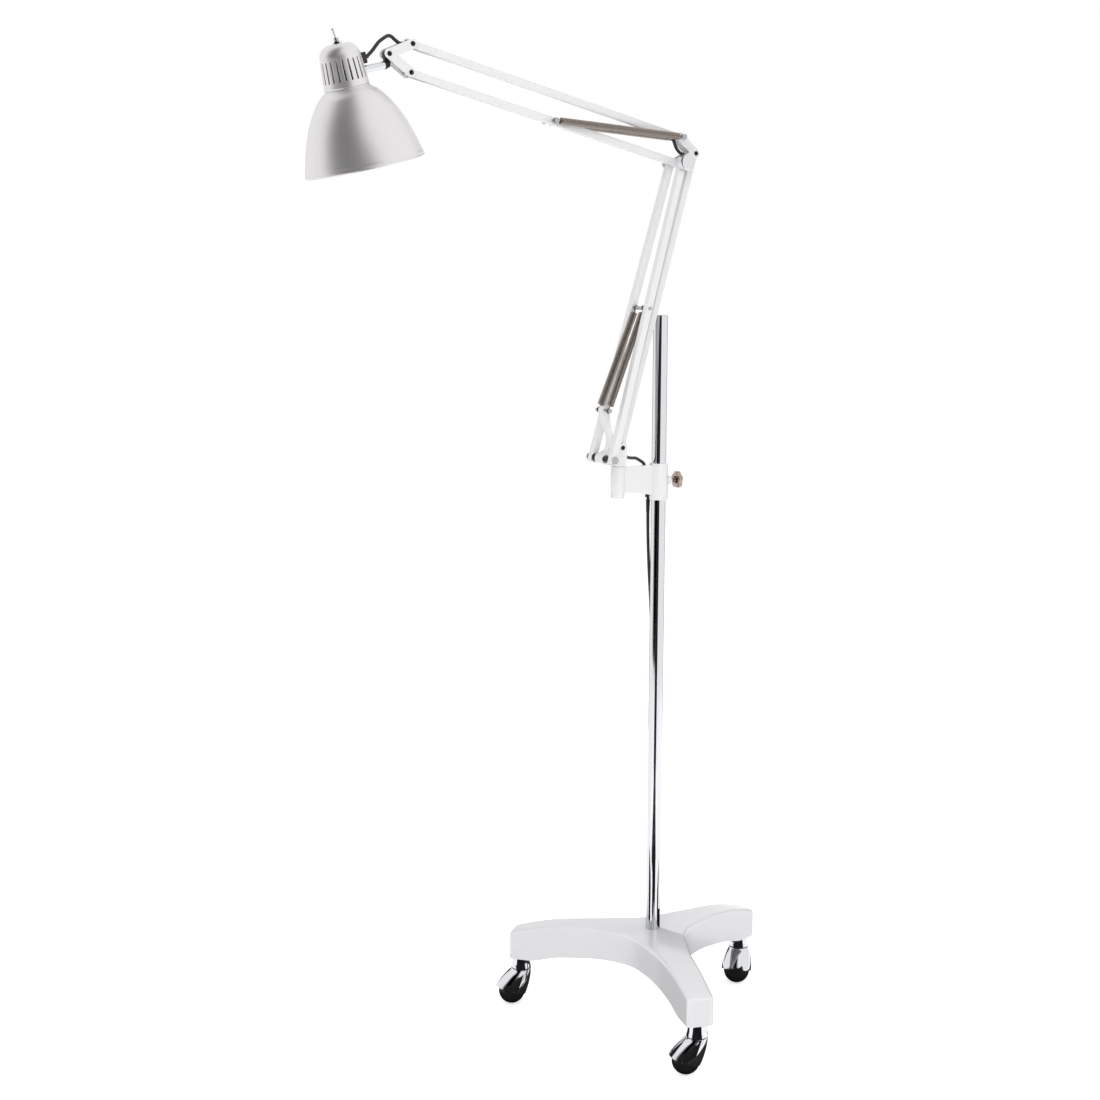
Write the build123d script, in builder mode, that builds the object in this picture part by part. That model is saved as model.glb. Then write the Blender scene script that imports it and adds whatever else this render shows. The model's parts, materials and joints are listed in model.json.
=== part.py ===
"""Adjustable arm floor lamp: cast three-legged base on ball casters, chrome column, sliding bracket,
two-part spring arm built as two parallelograms, and a bell shade that tilts and swivels.

Frame: origin on the floor on the column's axis, +Z up.  The arm moves in a plane parallel to XZ, and
the head lies towards -X.  Millimetres and degrees.
"""
from build123d import *
import math
import os

os.makedirs("parts", exist_ok=True)

# ---------------------------------------------------------------- driving dimensions
# fits
running_fit = 0.05          # radial, shaft in bore
loose_fit = 0.2             # radial, pivot that only guides
face_gap = 0.3              # between faces that pass each other

# base casting
leg_angles = (12.3, 132.3, 252.3)
leg_reach = 264.0           # column axis to a leg's end
leg_end_half_width = 23.5
leg_end_radius = 8.0
leg_sides = ((215.0, 25.0), (165.0, 27.5), (122.0, 31.0), (86.0, 37.5))     # along a leg, half width
notch_radius = 61.5         # column axis to the side between two legs
base_wall = 8.0
base_edge_radius = 6.0
hub_top = 166.0             # height of the top face at the column
top_heights = ((130.0, 161.5), (200.0, 153.5), (284.0, 131.0))              # from the axis, height
leg_end_top = 137.0
hub_bottom = 110.0          # height of the skirt's lower edge
skirt_heights = ((230.0, 88.0), (190.0, 96.5), (165.0, 101.5), (125.0, 106.0), (90.0, 110.0))
leg_end_bottom = 88.0
caster_circle = 247.0
socket_radius = 24.0        # thick boss that holds the column
caster_boss_radius = 14.0

# column
column_radius = 12.5
column_wall = 1.5
column_top = 1265.0
column_socket_depth = 46.0
plug_length = 12.0
insert_length = 30.0
base_bolt_radius = 5.0
base_bolt_head_radius = 8.5
base_bolt_head = 6.5
base_bolt_length = 52.0
washer_radius = 17.0
washer_thickness = 2.5

# casters
ball_radius = 24.0
caster_trail = 20.0         # swivel axis to ball centre
hood_radius = 29.0
hood_rise = 9.0             # hood centre above ball centre
hood_neck_radius = 18.5
hood_clearance = 1.5        # round the ball
collar_top_radius = 16.0
collar_radius = 19.0
collar_bottom = 65.0
stem_radius = 5.5
stem_bottom = 48.0
stem_grip = 34.0            # length of the stem inside the leg
axle_radius = 3.5
axle_tilt = 18.0            # ball axle from the vertical, towards the stem
axle_depth = 12.0           # below the ball's centre
axle_grip = 7.0             # length in the hood, past the clearance
trail_angles = (222.0, 177.0, 162.5)
caster_names = ("right", "left", "front")

# bracket on the column
bracket_reach = 91.0        # column axis to spigot axis
bracket_turn = 4.0          # web's direction from -X
barrel_radius = 16.0
barrel_top = 1011.0
barrel_bottom = 947.0
spigot_boss_radius = 11.4
spigot_boss_bottom = 957.0
web_thickness = 9.0
web_arch = 6.5
bracket_edge = 1.2
screw_height = 980.0
screw_turn = 14.0           # thumb screw's direction from the web's line
screw_boss_radius = 7.5
screw_boss_reach = 22.0
screw_radius = 4.0
knob_radius = 15.0
knob_thickness = 9.0
knob_reach = 32.0           # column axis to the knob's inner face
knob_flutes = 5
pad_thickness = 1.6

# arm foot
foot_gap = 0.5              # flange above the boss
spigot_radius = 6.0
spigot_end_screw = 2.5
flange_radius = 11.0
flange_thickness = 5.0
foot_half_width = 10.0
mast_half_width = 5.5
base_pivot = (-32.0, 1026.0)        # distance from the spigot axis, height
mast_head = (-30.0, 1108.0)
lug_radius = 9.0
mast_head_radius = 7.5
mast_waist = (-21.5, 1053.0)        # on the edge away from the column
mast_width = 13.0
base_pin_radius = 4.0
anchor_rod_radius = 3.0
anchor_rod_half = 21.0

# arm bars
bar_size = 12.0
bar_wall = 1.5
bar_corner = 1.5
bar_overhang = 8.0          # past a pivot
lower_length = 515.5
lower_lean = 16.4           # from the vertical
lower_half_spread_base = 30.0
lower_half_spread_elbow = 17.0
link_offset = (35.5, 17.0)
upper_length = 526.0
upper_rise = 13.45          # above the horizontal
prong_offset = (3.0, 43.0)
stud_radius = 2.5
stud_head_radius = 4.6
stud_head = 1.8

# springs
spring_radius = 6.0
spring_bore = 4.2
spring_hook = 1.25
lower_spring_side = 14.5    # on the mast's rod
lower_spring_side_high = 11.2       # on the rod between the bars
upper_spring_side = 15.5
lower_spring_rod_at = 263.0         # along the lower arm from the base pivot
spring_rod_radius = 3.0
upper_spring_bolt_at = 259.0        # along the upper bar from the elbow
spring_bolt_radius = 2.5

# elbow and head plates
plate_thickness = 2.5
plate_side = 7.0            # inner face from the arm's middle plane
plate_arm_radius = 7.5
plate_inner_radius = 5.0
elbow_bolt_radius = 4.0
elbow_knob_radius = 14.0
elbow_knob_thickness = 12.0
elbow_nut_radius = 7.5
elbow_nut_thickness = 6.0
tilt_offset = (-37.5, 26.0)         # tilt pivot from the lower prong
tilt_bolt_radius = 3.0

# head: radius towards the arm, height along the shade's axis from the rim
shade_lean = 14.0
tilt_radius_out = 78.5
tilt_height = 155.0
rod_height = 140.0
rod_radius = 6.0
rod_inner = 25.0
rod_outer = 69.5
knuckle_ring = 4.0
knuckle_stub_radius = 3.5
knuckle_stub = 18.0
tongue_half_width = 3.0
tongue_radius = 6.5
rim_radius = 92.5
bell_middle = (75.5, 61.0)   # radius, height above the rim
shade_wall = 1.2
shade_height = 119.0
shoulder_radius = 36.8
cap_base_radius = 34.8
cap_top_radius = 31.4
cap_shoulder_height = 165.0
cap_dome_radius = 20.0
cap_wall = 1.2
vent_count = 22
vent_width = 2.2
vent_bottom = 130.0
vent_top = 162.0
holder_radius = 19.0
holder_bottom = 84.0
holder_top = 146.0
bulb_radius = 30.0
bulb_neck_radius = 13.0
bulb_low = 16.0
bulb_wall = 0.9
toggle_body_radius = 7.0
toggle_thread_radius = 6.0
toggle_nut_radius = 7.6
toggle_nut_height = 3.0
toggle_collar_height = 6.0
lever_radius = 1.5
lever_tip_radius = 2.4
lever_length = 18.0
lever_rest = 9.0
gland_size = (9.0, 13.0, 17.0)

# mains cord and lead
cord_radius = 2.75
clip_point = (-9.9, 17.0)
clip_bottom = 950.0
clip_height = 9.0
clip_wall = 2.4
cord_exit = 945.0
back_turn = 36.0            # the cord's way to the floor, from the +Y direction towards +X
coil_mid_radius = 30.0
coil_band = 16.5
coil_along = (18.0, 245.0)  # coil's centre, across and along that way
plug_start = 40.5           # coil's centre to the back of the plug, along that way
plug_size = (25.0, 34.0, 13.7)
plug_relief = 18.0
plug_pin_radius = 2.0
plug_pin_length = 19.0
plug_pin_spacing = 18.6

# ---------------------------------------------------------------- frames and pivots
foot_x = -bracket_reach * math.cos(math.radians(bracket_turn))
arm_y = -bracket_reach * math.sin(math.radians(bracket_turn))
# local x runs along +X from the spigot axis, local y is height, local z is towards the near side
arm_plane = Plane(origin=(foot_x, arm_y, 0), x_dir=(1, 0, 0), z_dir=(0, -1, 0))
bracket_plane = Plane(
    origin=(0, 0, 0),
    x_dir=(-math.cos(math.radians(bracket_turn)), -math.sin(math.radians(bracket_turn)), 0),
    z_dir=(0, 0, 1),
)
web_plane = Plane(origin=(0, 0, 0), x_dir=bracket_plane.x_dir, z_dir=-bracket_plane.y_dir)


def polar(length, angle):
    """Point at a distance and an angle in degrees."""
    return (length * math.cos(math.radians(angle)), length * math.sin(math.radians(angle)))


def add2(point, offset):
    """Sum of two points of the arm's plane."""
    return (point[0] + offset[0], point[1] + offset[1])


def along(start, end, distance):
    """Point at a distance from start on the way to end."""
    length = math.dist(start, end)
    return tuple(a + (b - a) * distance / length for a, b in zip(start, end))


cap_top = cap_shoulder_height + cap_dome_radius
elbow = add2(base_pivot, polar(lower_length, 90 - lower_lean))
link_foot = add2(base_pivot, link_offset)
link_elbow = add2(elbow, link_offset)
elbow_top = add2(elbow, prong_offset)
head_low = add2(elbow, polar(upper_length, 180 - upper_rise))
head_top = add2(head_low, prong_offset)
tilt_pivot = add2(head_low, tilt_offset)
lower_rod = along(base_pivot, elbow, lower_spring_rod_at)
upper_bolt = along(elbow, head_low, upper_spring_bolt_at)

rim_centre = add2(tilt_pivot, polar(tilt_radius_out, 180 + shade_lean))
rim_centre = add2(rim_centre, polar(tilt_height, shade_lean - 90))
head_plane = Plane(
    origin=arm_plane.from_local_coords((rim_centre[0], rim_centre[1], 0)),
    x_dir=(math.cos(math.radians(shade_lean)), 0, math.sin(math.radians(shade_lean))),
    z_dir=(0, -1, 0),
)
head_axis = Axis(head_plane.origin, head_plane.y_dir)
rod_start = head_plane.from_local_coords((0, rod_height, 0))
rod_plane = Plane(origin=rod_start, x_dir=(0, 1, 0), z_dir=head_plane.x_dir)


def keep(piece, name):
    """Label a finished piece and write it."""
    piece.part.label = name
    export_step(piece.part, f"parts/{name}.step")


def pin_along_arm_normal(at, radius, low, high, mode=Mode.ADD):
    """Round pin across the arm, between two distances towards the near side."""
    with BuildSketch(arm_plane.offset(low)) as section:
        with Locations(at):
            Circle(radius)
    extrude(section.sketch, amount=high - low, mode=mode)


# ---------------------------------------------------------------- base casting
def star_outline(height, inset):
    """Three-legged plan at a height: flat leg ends joined by smooth sides that pass at the notch radius."""
    half = leg_end_half_width - inset
    reach = leg_reach - inset

    def beside(angle, distance, half_width, side):
        """Point beside a leg's middle line."""
        return add2(polar(distance, angle), polar(half_width, angle + 90 * side))

    with BuildSketch(Plane.XY.offset(height)) as star:
        with BuildLine():
            for angle in leg_angles:
                left = beside(angle, reach, half, 1)
                Line(beside(angle, reach, half, -1), left)
                Spline(
                    left,
                    *[beside(angle, distance, width - inset, 1) for distance, width in leg_sides],
                    polar(notch_radius - inset, angle + 60),
                    *[beside(angle + 120, distance, width - inset, -1) for distance, width in reversed(leg_sides)],
                    beside(angle + 120, reach, half, -1),
                )
        make_face()
        fillet([v for v in star.vertices() if v.center().length > reach - half], leg_end_radius)
    return star.sketch


def base_profile(lowered, dropped):
    """Half section of the base, its top face lowered by one wall and its underside dropped."""
    top = [(0, hub_top - lowered)] + [(x, z - lowered) for x, z in top_heights]
    skirt = [(x, z - dropped) for x, z in skirt_heights]
    with BuildSketch(Plane.XZ) as profile:
        with BuildLine():
            Spline(*top, tangents=((1, 0), (1, -0.3)))
            Polyline(top[-1], (top[-1][0], skirt[0][1]), skirt[0])
            Spline(*skirt, tangents=((-1, 0), (-1, 0)))
            Polyline(skirt[-1], (0, skirt[-1][1]), top[0])
        make_face()
    return profile.sketch


with BuildPart() as base_casting:
    extrude(star_outline(leg_end_bottom - 20, 0), amount=hub_top)
    revolve(base_profile(0, 0), axis=Axis.Z, mode=Mode.INTERSECT)
    top_edges = base_casting.faces().filter_by(lambda f: f.normal_at().Z > 0.7).edges()
    fillet(top_edges, base_edge_radius)
    with BuildPart(mode=Mode.PRIVATE) as base_hollow:
        extrude(star_outline(leg_end_bottom - 30, base_wall), amount=hub_top)
        revolve(base_profile(base_wall, 20), axis=Axis.Z, mode=Mode.INTERSECT)
    add(base_hollow.part, mode=Mode.SUBTRACT)
    with BuildSketch(Plane.XY.offset(hub_top - base_wall / 2)):
        Circle(socket_radius)
    extrude(amount=-(hub_top - base_wall / 2 - hub_bottom))
    with BuildSketch(Plane.XY.offset(leg_end_bottom)):
        with Locations(*[polar(caster_circle, a) for a in leg_angles]):
            Circle(caster_boss_radius)
    extrude(amount=leg_end_top - base_wall / 2 - leg_end_bottom)
    with BuildSketch(Plane.XY.offset(hub_top + 1)):
        Circle(column_radius)
    extrude(amount=-(column_socket_depth + 1), mode=Mode.SUBTRACT)
    with BuildSketch(Plane.XY):
        Circle(base_bolt_radius + loose_fit)
    extrude(amount=hub_top, mode=Mode.SUBTRACT)
    with BuildSketch(Plane.XY.offset(leg_end_bottom - 1)):
        with Locations(*[polar(caster_circle, a) for a in leg_angles]):
            Circle(stem_radius)
    extrude(amount=stem_grip + 2, mode=Mode.SUBTRACT)
keep(base_casting, "base_casting")

column_foot = hub_top - column_socket_depth
with BuildPart() as column_tube:
    with BuildSketch(Plane.XY.offset(column_foot)):
        Circle(column_radius)
        Circle(column_radius - column_wall, mode=Mode.SUBTRACT)
    extrude(amount=column_top - column_foot)
keep(column_tube, "column_tube")

with BuildPart() as column_plug:
    with BuildSketch(Plane.XY.offset(column_top)):
        Circle(column_radius - column_wall)
    extrude(amount=-plug_length)
    chamfer(column_plug.edges().sort_by(Axis.Z)[-1], 0.8)
keep(column_plug, "column_plug")

with BuildPart() as column_insert:
    with BuildSketch(Plane.XY.offset(column_foot)):
        Circle(column_radius - column_wall)
        Circle(base_bolt_radius, mode=Mode.SUBTRACT)
    extrude(amount=insert_length)
keep(column_insert, "column_insert")

bolt_seat = hub_bottom - washer_thickness
with BuildPart() as base_bolt:
    with BuildSketch(Plane.XY.offset(bolt_seat - base_bolt_head)):
        RegularPolygon(base_bolt_head_radius, 6)
    extrude(amount=base_bolt_head)
    with BuildSketch(Plane.XY.offset(bolt_seat)):
        Circle(base_bolt_radius)
    extrude(amount=min(base_bolt_length, column_foot + insert_length - bolt_seat))
keep(base_bolt, "base_bolt")

with BuildPart() as base_washer:
    with BuildSketch(Plane.XY.offset(bolt_seat)):
        Circle(washer_radius)
        Circle(base_bolt_radius + loose_fit, mode=Mode.SUBTRACT)
    extrude(amount=washer_thickness)
keep(base_washer, "base_washer")

# ---------------------------------------------------------------- casters
caster_places = [polar(caster_circle, a) for a in leg_angles]

with BuildPart() as caster_stems:
    with BuildSketch(Plane.XY.offset(stem_bottom)):
        with Locations(*caster_places):
            Circle(stem_radius)
    extrude(amount=leg_end_bottom + stem_grip - stem_bottom)
keep(caster_stems, "caster_stems")

with BuildPart() as caster_collars:
    for place in caster_places:
        with BuildSketch(Plane.XY.offset(collar_bottom)):
            with Locations(place):
                Circle(collar_radius)
        with BuildSketch(Plane.XY.offset(leg_end_bottom)):
            with Locations(place):
                Circle(collar_top_radius)
        loft()
    rims = caster_collars.edges().filter_by(GeomType.CIRCLE)
    fillet(rims.group_by(Axis.Z)[0], 2.5)
    with BuildSketch(Plane.XY.offset(collar_bottom)):
        with Locations(*caster_places):
            Circle(stem_radius)
    extrude(amount=leg_end_bottom - collar_bottom, mode=Mode.SUBTRACT)
keep(caster_collars, "caster_collars")

ball_local = (caster_trail, 0, ball_radius)
axle_lean = math.radians(axle_tilt)


def caster(place, trail, name):
    """Hood with its axle, and ball, of one caster trailing in the given direction."""
    turned = Plane(origin=(place[0], place[1], 0), x_dir=(*polar(1, trail), 0), z_dir=(0, 0, 1))
    ball_centre = turned.from_local_coords(ball_local)
    hood_centre = ball_centre + Vector(0, 0, hood_rise)
    axle_dir = Vector(0, 0, 1) * math.cos(axle_lean) - turned.x_dir * math.sin(axle_lean)
    axle_plane = Plane(origin=ball_centre, x_dir=turned.y_dir, z_dir=axle_dir)
    # the mouth is the circle in which the plane across the axle meets the round of the hood
    lift = hood_rise * math.cos(axle_lean)
    mouth = Plane(origin=hood_centre - axle_dir * lift, x_dir=turned.y_dir, z_dir=axle_dir)
    clearance = ball_radius + hood_clearance
    with BuildPart() as hood:
        with Locations(hood_centre):
            Sphere(hood_radius)
        with BuildSketch(mouth):
            Circle(math.sqrt(hood_radius ** 2 - lift ** 2))
        with BuildSketch(turned.offset(collar_bottom - face_gap)):
            Circle(hood_neck_radius)
        loft(ruled=True)
        with Locations(ball_centre):
            Sphere(clearance, mode=Mode.SUBTRACT)
        with BuildSketch(mouth):
            Rectangle(6 * hood_radius, 6 * hood_radius)
        extrude(amount=-3 * hood_radius, mode=Mode.SUBTRACT)
        with BuildSketch(turned.offset(stem_bottom)):
            Circle(stem_radius + running_fit)
        extrude(amount=collar_bottom - stem_bottom, mode=Mode.SUBTRACT)
        with BuildSketch(axle_plane.offset(-axle_depth)):
            Circle(axle_radius)
        extrude(amount=axle_depth + clearance + axle_grip)
    keep(hood, f"caster_hood_{name}")
    section_plane = Plane(origin=ball_centre, x_dir=turned.y_dir, z_dir=turned.y_dir.cross(axle_dir))
    bore = axle_radius + running_fit
    bore_end = -axle_depth - face_gap
    bore_mouth = math.sqrt(ball_radius ** 2 - bore ** 2)
    with BuildPart() as ball:
        with BuildSketch(section_plane):
            with BuildLine():
                ThreePointArc((0, -ball_radius), (ball_radius, 0), (bore, bore_mouth))
                Polyline((bore, bore_mouth), (bore, bore_end), (0, bore_end), (0, -ball_radius))
            make_face()
        revolve(axis=Axis(ball_centre, axle_dir))
    keep(ball, f"caster_ball_{name}")
    print("caster", name, "ball", ball_centre, "axle", axle_dir)


for place, trail, name in zip(caster_places, trail_angles, caster_names):
    caster(place, trail, name)

# ---------------------------------------------------------------- bracket on the column
screw_angle = 180 + bracket_turn - 180 - screw_turn
screw_dir = Vector(*polar(1, screw_angle), 0)
screw_plane = Plane(origin=(0, 0, screw_height), x_dir=(0, 0, 1), z_dir=screw_dir)
bore_radius = column_radius + running_fit

with BuildPart() as bracket_casting:
    with BuildSketch(Plane.XY.offset(barrel_bottom)):
        Circle(barrel_radius)
    extrude(amount=barrel_top - barrel_bottom)
    with BuildSketch(bracket_plane.offset(spigot_boss_bottom)):
        with Locations((bracket_reach, 0)):
            Circle(spigot_boss_radius)
    extrude(amount=barrel_top - spigot_boss_bottom)
    with BuildSketch(web_plane):
        with BuildLine():
            near_column = (barrel_radius * 0.6, barrel_bottom + 7)
            near_boss = (bracket_reach - spigot_boss_radius * 0.6, spigot_boss_bottom + 9)
            crest = ((near_column[0] + near_boss[0]) / 2 + 12, spigot_boss_bottom + web_arch)
            ThreePointArc(near_column, crest, near_boss)
            Polyline(near_boss, (near_boss[0], barrel_top - 2.5), (near_column[0], barrel_top - 2.5), near_column)
        make_face()
    extrude(amount=web_thickness / 2, both=True)
    with BuildSketch(screw_plane):
        Circle(screw_boss_radius)
    extrude(amount=screw_boss_reach)
    rims = bracket_casting.edges().filter_by(GeomType.CIRCLE).filter_by(
        lambda e: abs(e.radius - spigot_boss_radius) < 0.01 or abs(e.radius - barrel_radius) < 0.01)
    fillet(rims.group_by(Axis.Z)[0] + rims.group_by(Axis.Z)[-1], bracket_edge)
    with BuildSketch(Plane.XY.offset(barrel_bottom - 1)):
        Circle(bore_radius)
    extrude(amount=barrel_top - barrel_bottom + 2, mode=Mode.SUBTRACT)
    with BuildSketch(bracket_plane.offset(spigot_boss_bottom - 1)):
        with Locations((bracket_reach, 0)):
            Circle(spigot_radius + running_fit)
    extrude(amount=barrel_top - spigot_boss_bottom + 2, mode=Mode.SUBTRACT)
    with BuildSketch(bracket_plane.offset(spigot_boss_bottom - 1)):
        with Locations((bracket_reach, 0)):
            Circle(spigot_radius + 2.6)
    extrude(amount=1 + 5, mode=Mode.SUBTRACT)
    with BuildSketch(screw_plane):
        Circle(screw_radius + running_fit)
    extrude(amount=screw_boss_reach + 1, mode=Mode.SUBTRACT)
keep(bracket_casting, "bracket_casting")

with BuildPart() as clamp_pad:
    with BuildSketch(screw_plane.offset(bore_radius)):
        Circle(screw_radius)
    extrude(amount=pad_thickness)
    with BuildSketch(Plane.XY.offset(screw_height - 10)):
        Circle(bore_radius)
    extrude(amount=20, mode=Mode.SUBTRACT)
keep(clamp_pad, "clamp_pad")

with BuildPart() as clamp_screw:
    screw_tip = bore_radius + pad_thickness + 0.1
    with BuildSketch(screw_plane.offset(screw_tip)):
        Circle(screw_radius)
    extrude(amount=knob_reach - screw_tip)
    with BuildSketch(screw_plane.offset(knob_reach - 4)):
        Circle(screw_radius + 3)
    extrude(amount=4)
    with BuildSketch(screw_plane.offset(knob_reach)):
        Circle(knob_radius)
        with PolarLocations(knob_radius + 4, knob_flutes):
            Circle(6.5, mode=Mode.SUBTRACT)
    extrude(amount=knob_thickness)
    ends = clamp_screw.faces().sort_by(Axis((0, 0, 0), screw_dir))[-1].edges()
    fillet(ends, 2.0)
keep(clamp_screw, "clamp_screw")

with BuildPart() as cord_clip:
    with BuildSketch(Plane.XY.offset(clip_bottom)):
        with Locations(clip_point):
            Circle(cord_radius + clip_wall)
            Circle(cord_radius + loose_fit, mode=Mode.SUBTRACT)
    extrude(amount=clip_height)
    with BuildSketch(Plane.XY.offset(clip_bottom)):
        Circle(barrel_radius)
    extrude(amount=clip_height, mode=Mode.SUBTRACT)
keep(cord_clip, "cord_clip")

# ---------------------------------------------------------------- arm foot
foot_bottom = barrel_top + foot_gap
foot_right = 11.0
slot_half = bar_size / 2 + 0.6

with BuildPart() as foot_casting:
    with BuildSketch(Plane(origin=(foot_x, arm_y, foot_bottom), z_dir=(0, 0, 1))):
        Circle(flange_radius)
    extrude(amount=flange_thickness)
    with BuildSketch(arm_plane.offset(-foot_half_width)):
        with BuildLine():
            lug_low = add2(base_pivot, (0, -lug_radius))
            lug_high = add2(base_pivot, (0, lug_radius))
            ear_side = add2(link_foot, (lug_radius, 0))
            ear_high = add2(link_foot, (0, lug_radius))
            Polyline(lug_low, (-flange_radius + 3, foot_bottom), (foot_right, foot_bottom), ear_side)
            ThreePointArc(ear_side, add2(link_foot, polar(lug_radius, 45)), ear_high)
            Line(ear_high, lug_high)
            ThreePointArc(lug_high, add2(base_pivot, (-lug_radius, 0)), lug_low)
        make_face()
    extrude(amount=2 * foot_half_width)
    with BuildSketch(arm_plane.offset(-mast_half_width)):
        with BuildLine():
            left_top = (mast_head[0] - mast_head_radius, mast_head[1])
            right_top = (mast_head[0] + mast_head_radius, mast_head[1])
            mast_root = add2(base_pivot, (2, 6))
            mast_shoulder = add2(link_foot, (-4.5, 7))
            Spline(mast_root, mast_waist, left_top, tangents=((0.7, 1), (-0.15, 1)))
            ThreePointArc(left_top, add2(mast_head, (0, mast_head_radius)), right_top)
            Spline(right_top, add2(mast_waist, (mast_width, 6)), mast_shoulder, tangents=((0.15, -1), (0.5, -1)))
            Polyline(mast_shoulder, link_foot, base_pivot, mast_root)
        make_face()
    extrude(amount=2 * mast_half_width)
    # slot for the link and its cord, open above and to the right
    with BuildSketch(arm_plane.offset(-slot_half)):
        with BuildLine():
            Polyline((link_foot[0] - 9, 1080), (link_foot[0] - 9, link_foot[1] - 10),
                     (link_foot[0] - 2, foot_bottom + flange_thickness), (40, foot_bottom + flange_thickness),
                     (40, 1080), close=True)
        make_face()
    extrude(amount=2 * slot_half, mode=Mode.SUBTRACT)
    pin_along_arm_normal(base_pivot, base_pin_radius, -40, 40, Mode.SUBTRACT)
    pin_along_arm_normal(mast_head, anchor_rod_radius, -40, 40, Mode.SUBTRACT)
    pin_along_arm_normal(link_foot, stud_radius, -40, 40, Mode.SUBTRACT)
    with BuildSketch(Plane(origin=(foot_x, arm_y, foot_bottom - 1), z_dir=(0, 0, 1))):
        Circle(spigot_radius)
    extrude(amount=flange_thickness + 1, mode=Mode.SUBTRACT)
keep(foot_casting, "foot_casting")

with BuildPart() as foot_spigot:
    with BuildSketch(Plane(origin=(foot_x, arm_y, spigot_boss_bottom + 5), z_dir=(0, 0, 1))):
        Circle(spigot_radius)
        Circle(spigot_end_screw, mode=Mode.SUBTRACT)
    extrude(amount=foot_bottom + flange_thickness - spigot_boss_bottom - 5)
keep(foot_spigot, "foot_spigot")

with BuildPart() as spigot_screw:
    with BuildSketch(Plane(origin=(foot_x, arm_y, spigot_boss_bottom + 1), z_dir=(0, 0, 1))):
        Circle(spigot_radius + 1.8)
    extrude(amount=4 - face_gap)
    with BuildSketch(Plane(origin=(foot_x, arm_y, spigot_boss_bottom + 3), z_dir=(0, 0, 1))):
        Circle(spigot_end_screw)
    extrude(amount=18)
keep(spigot_screw, "spigot_screw")

pin_half = lower_half_spread_base + bar_size / 2 + 2.0
with BuildPart() as base_pin:
    pin_along_arm_normal(base_pivot, base_pin_radius, -pin_half, pin_half)
    for side in (-1, 1):
        outer = side * pin_half
        pin_along_arm_normal(base_pivot, base_pin_radius + 2, min(outer, outer + side * 2), max(outer, outer + side * 2))
keep(base_pin, "base_pin")

spacer_end = lower_half_spread_base - bar_size / 2 - 0.8
with BuildPart() as pin_spacers:
    for side in (-1, 1):
        low = foot_half_width if side > 0 else -spacer_end
        with BuildSketch(arm_plane.offset(low)):
            with Locations(base_pivot):
                Circle(base_pin_radius + 2.5)
                Circle(base_pin_radius, mode=Mode.SUBTRACT)
        extrude(amount=spacer_end - foot_half_width)
keep(pin_spacers, "pin_spacers")

with BuildPart() as anchor_rod:
    pin_along_arm_normal(mast_head, anchor_rod_radius, -anchor_rod_half, anchor_rod_half)
keep(anchor_rod, "anchor_rod")


def stud_pair(at, outer_face):
    """Two short studs: each crosses a plate and one wall of a bar and leaves the bar's middle clear."""
    inner = bar_size / 2 - bar_wall - 0.2
    for side in (-1, 1):
        low, high = sorted((side * inner, side * outer_face))
        pin_along_arm_normal(at, stud_radius, low, high)
        low, high = sorted((side * outer_face, side * (outer_face + stud_head)))
        pin_along_arm_normal(at, stud_head_radius, low, high)


with BuildPart() as link_foot_studs:
    stud_pair(link_foot, foot_half_width)
keep(link_foot_studs, "link_foot_studs")


# ---------------------------------------------------------------- bars of the arm
def bar_body(start, end, before, after):
    """Square tube with rounded corners between two points of space, past each by an overhang."""
    direction = (end - start).normalized()
    with BuildSketch(Plane(origin=start - direction * before, x_dir=(0, 1, 0), z_dir=direction)) as section:
        RectangleRounded(bar_size, bar_size, bar_corner)
        RectangleRounded(bar_size - 2 * bar_wall, bar_size - 2 * bar_wall, bar_corner / 2, mode=Mode.SUBTRACT)
    extrude(section.sketch, amount=(end - start).length + before + after)


def in_arm(point, side=0.0):
    """Point of space from a point of the arm's plane and a distance towards the near side."""
    return arm_plane.from_local_coords((point[0], point[1], side))


with BuildPart() as lower_bars:
    for side in (-1, 1):
        bar_body(in_arm(base_pivot, side * lower_half_spread_base),
                 in_arm(elbow, side * lower_half_spread_elbow), bar_overhang, bar_overhang)
    pin_along_arm_normal(base_pivot, base_pin_radius + running_fit, -60, 60, Mode.SUBTRACT)
    pin_along_arm_normal(elbow, elbow_bolt_radius + running_fit, -60, 60, Mode.SUBTRACT)
    pin_along_arm_normal(lower_rod, spring_rod_radius, -60, 60, Mode.SUBTRACT)
keep(lower_bars, "lower_bars")

rod_spread = lower_half_spread_base + (lower_half_spread_elbow - lower_half_spread_base) * (
    lower_spring_rod_at / lower_length)
rod_half = rod_spread + bar_size / 2 + 1.5
with BuildPart() as spring_rod:
    pin_along_arm_normal(lower_rod, spring_rod_radius, -rod_half, rod_half)
keep(spring_rod, "spring_rod")

with BuildPart() as lower_link:
    bar_body(in_arm(link_foot), in_arm(link_elbow), bar_overhang, bar_overhang)
    pin_along_arm_normal(link_foot, stud_radius + running_fit, -20, 20, Mode.SUBTRACT)
    pin_along_arm_normal(link_elbow, stud_radius + loose_fit, -20, 20, Mode.SUBTRACT)
    # openings for the cord: left wall at the top end, lower end left open
    with BuildSketch(arm_plane.offset(-bar_size / 2 + bar_wall)):
        with Locations(Location((link_elbow[0], link_elbow[1]), -lower_lean)):
            with Locations((-bar_size / 2, 0)):
                Rectangle(bar_size, 2 * bar_overhang + 12)
    extrude(amount=bar_size - 2 * bar_wall, mode=Mode.SUBTRACT)
    with BuildSketch(arm_plane.offset(-bar_size / 2 + bar_wall)):
        with Locations(Location((link_foot[0], link_foot[1]), -lower_lean)):
            with Locations((bar_size / 2, 0)):
                Rectangle(bar_size, 2 * bar_overhang + 12)
    extrude(amount=bar_size - 2 * bar_wall, mode=Mode.SUBTRACT)
keep(lower_link, "lower_link")

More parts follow.
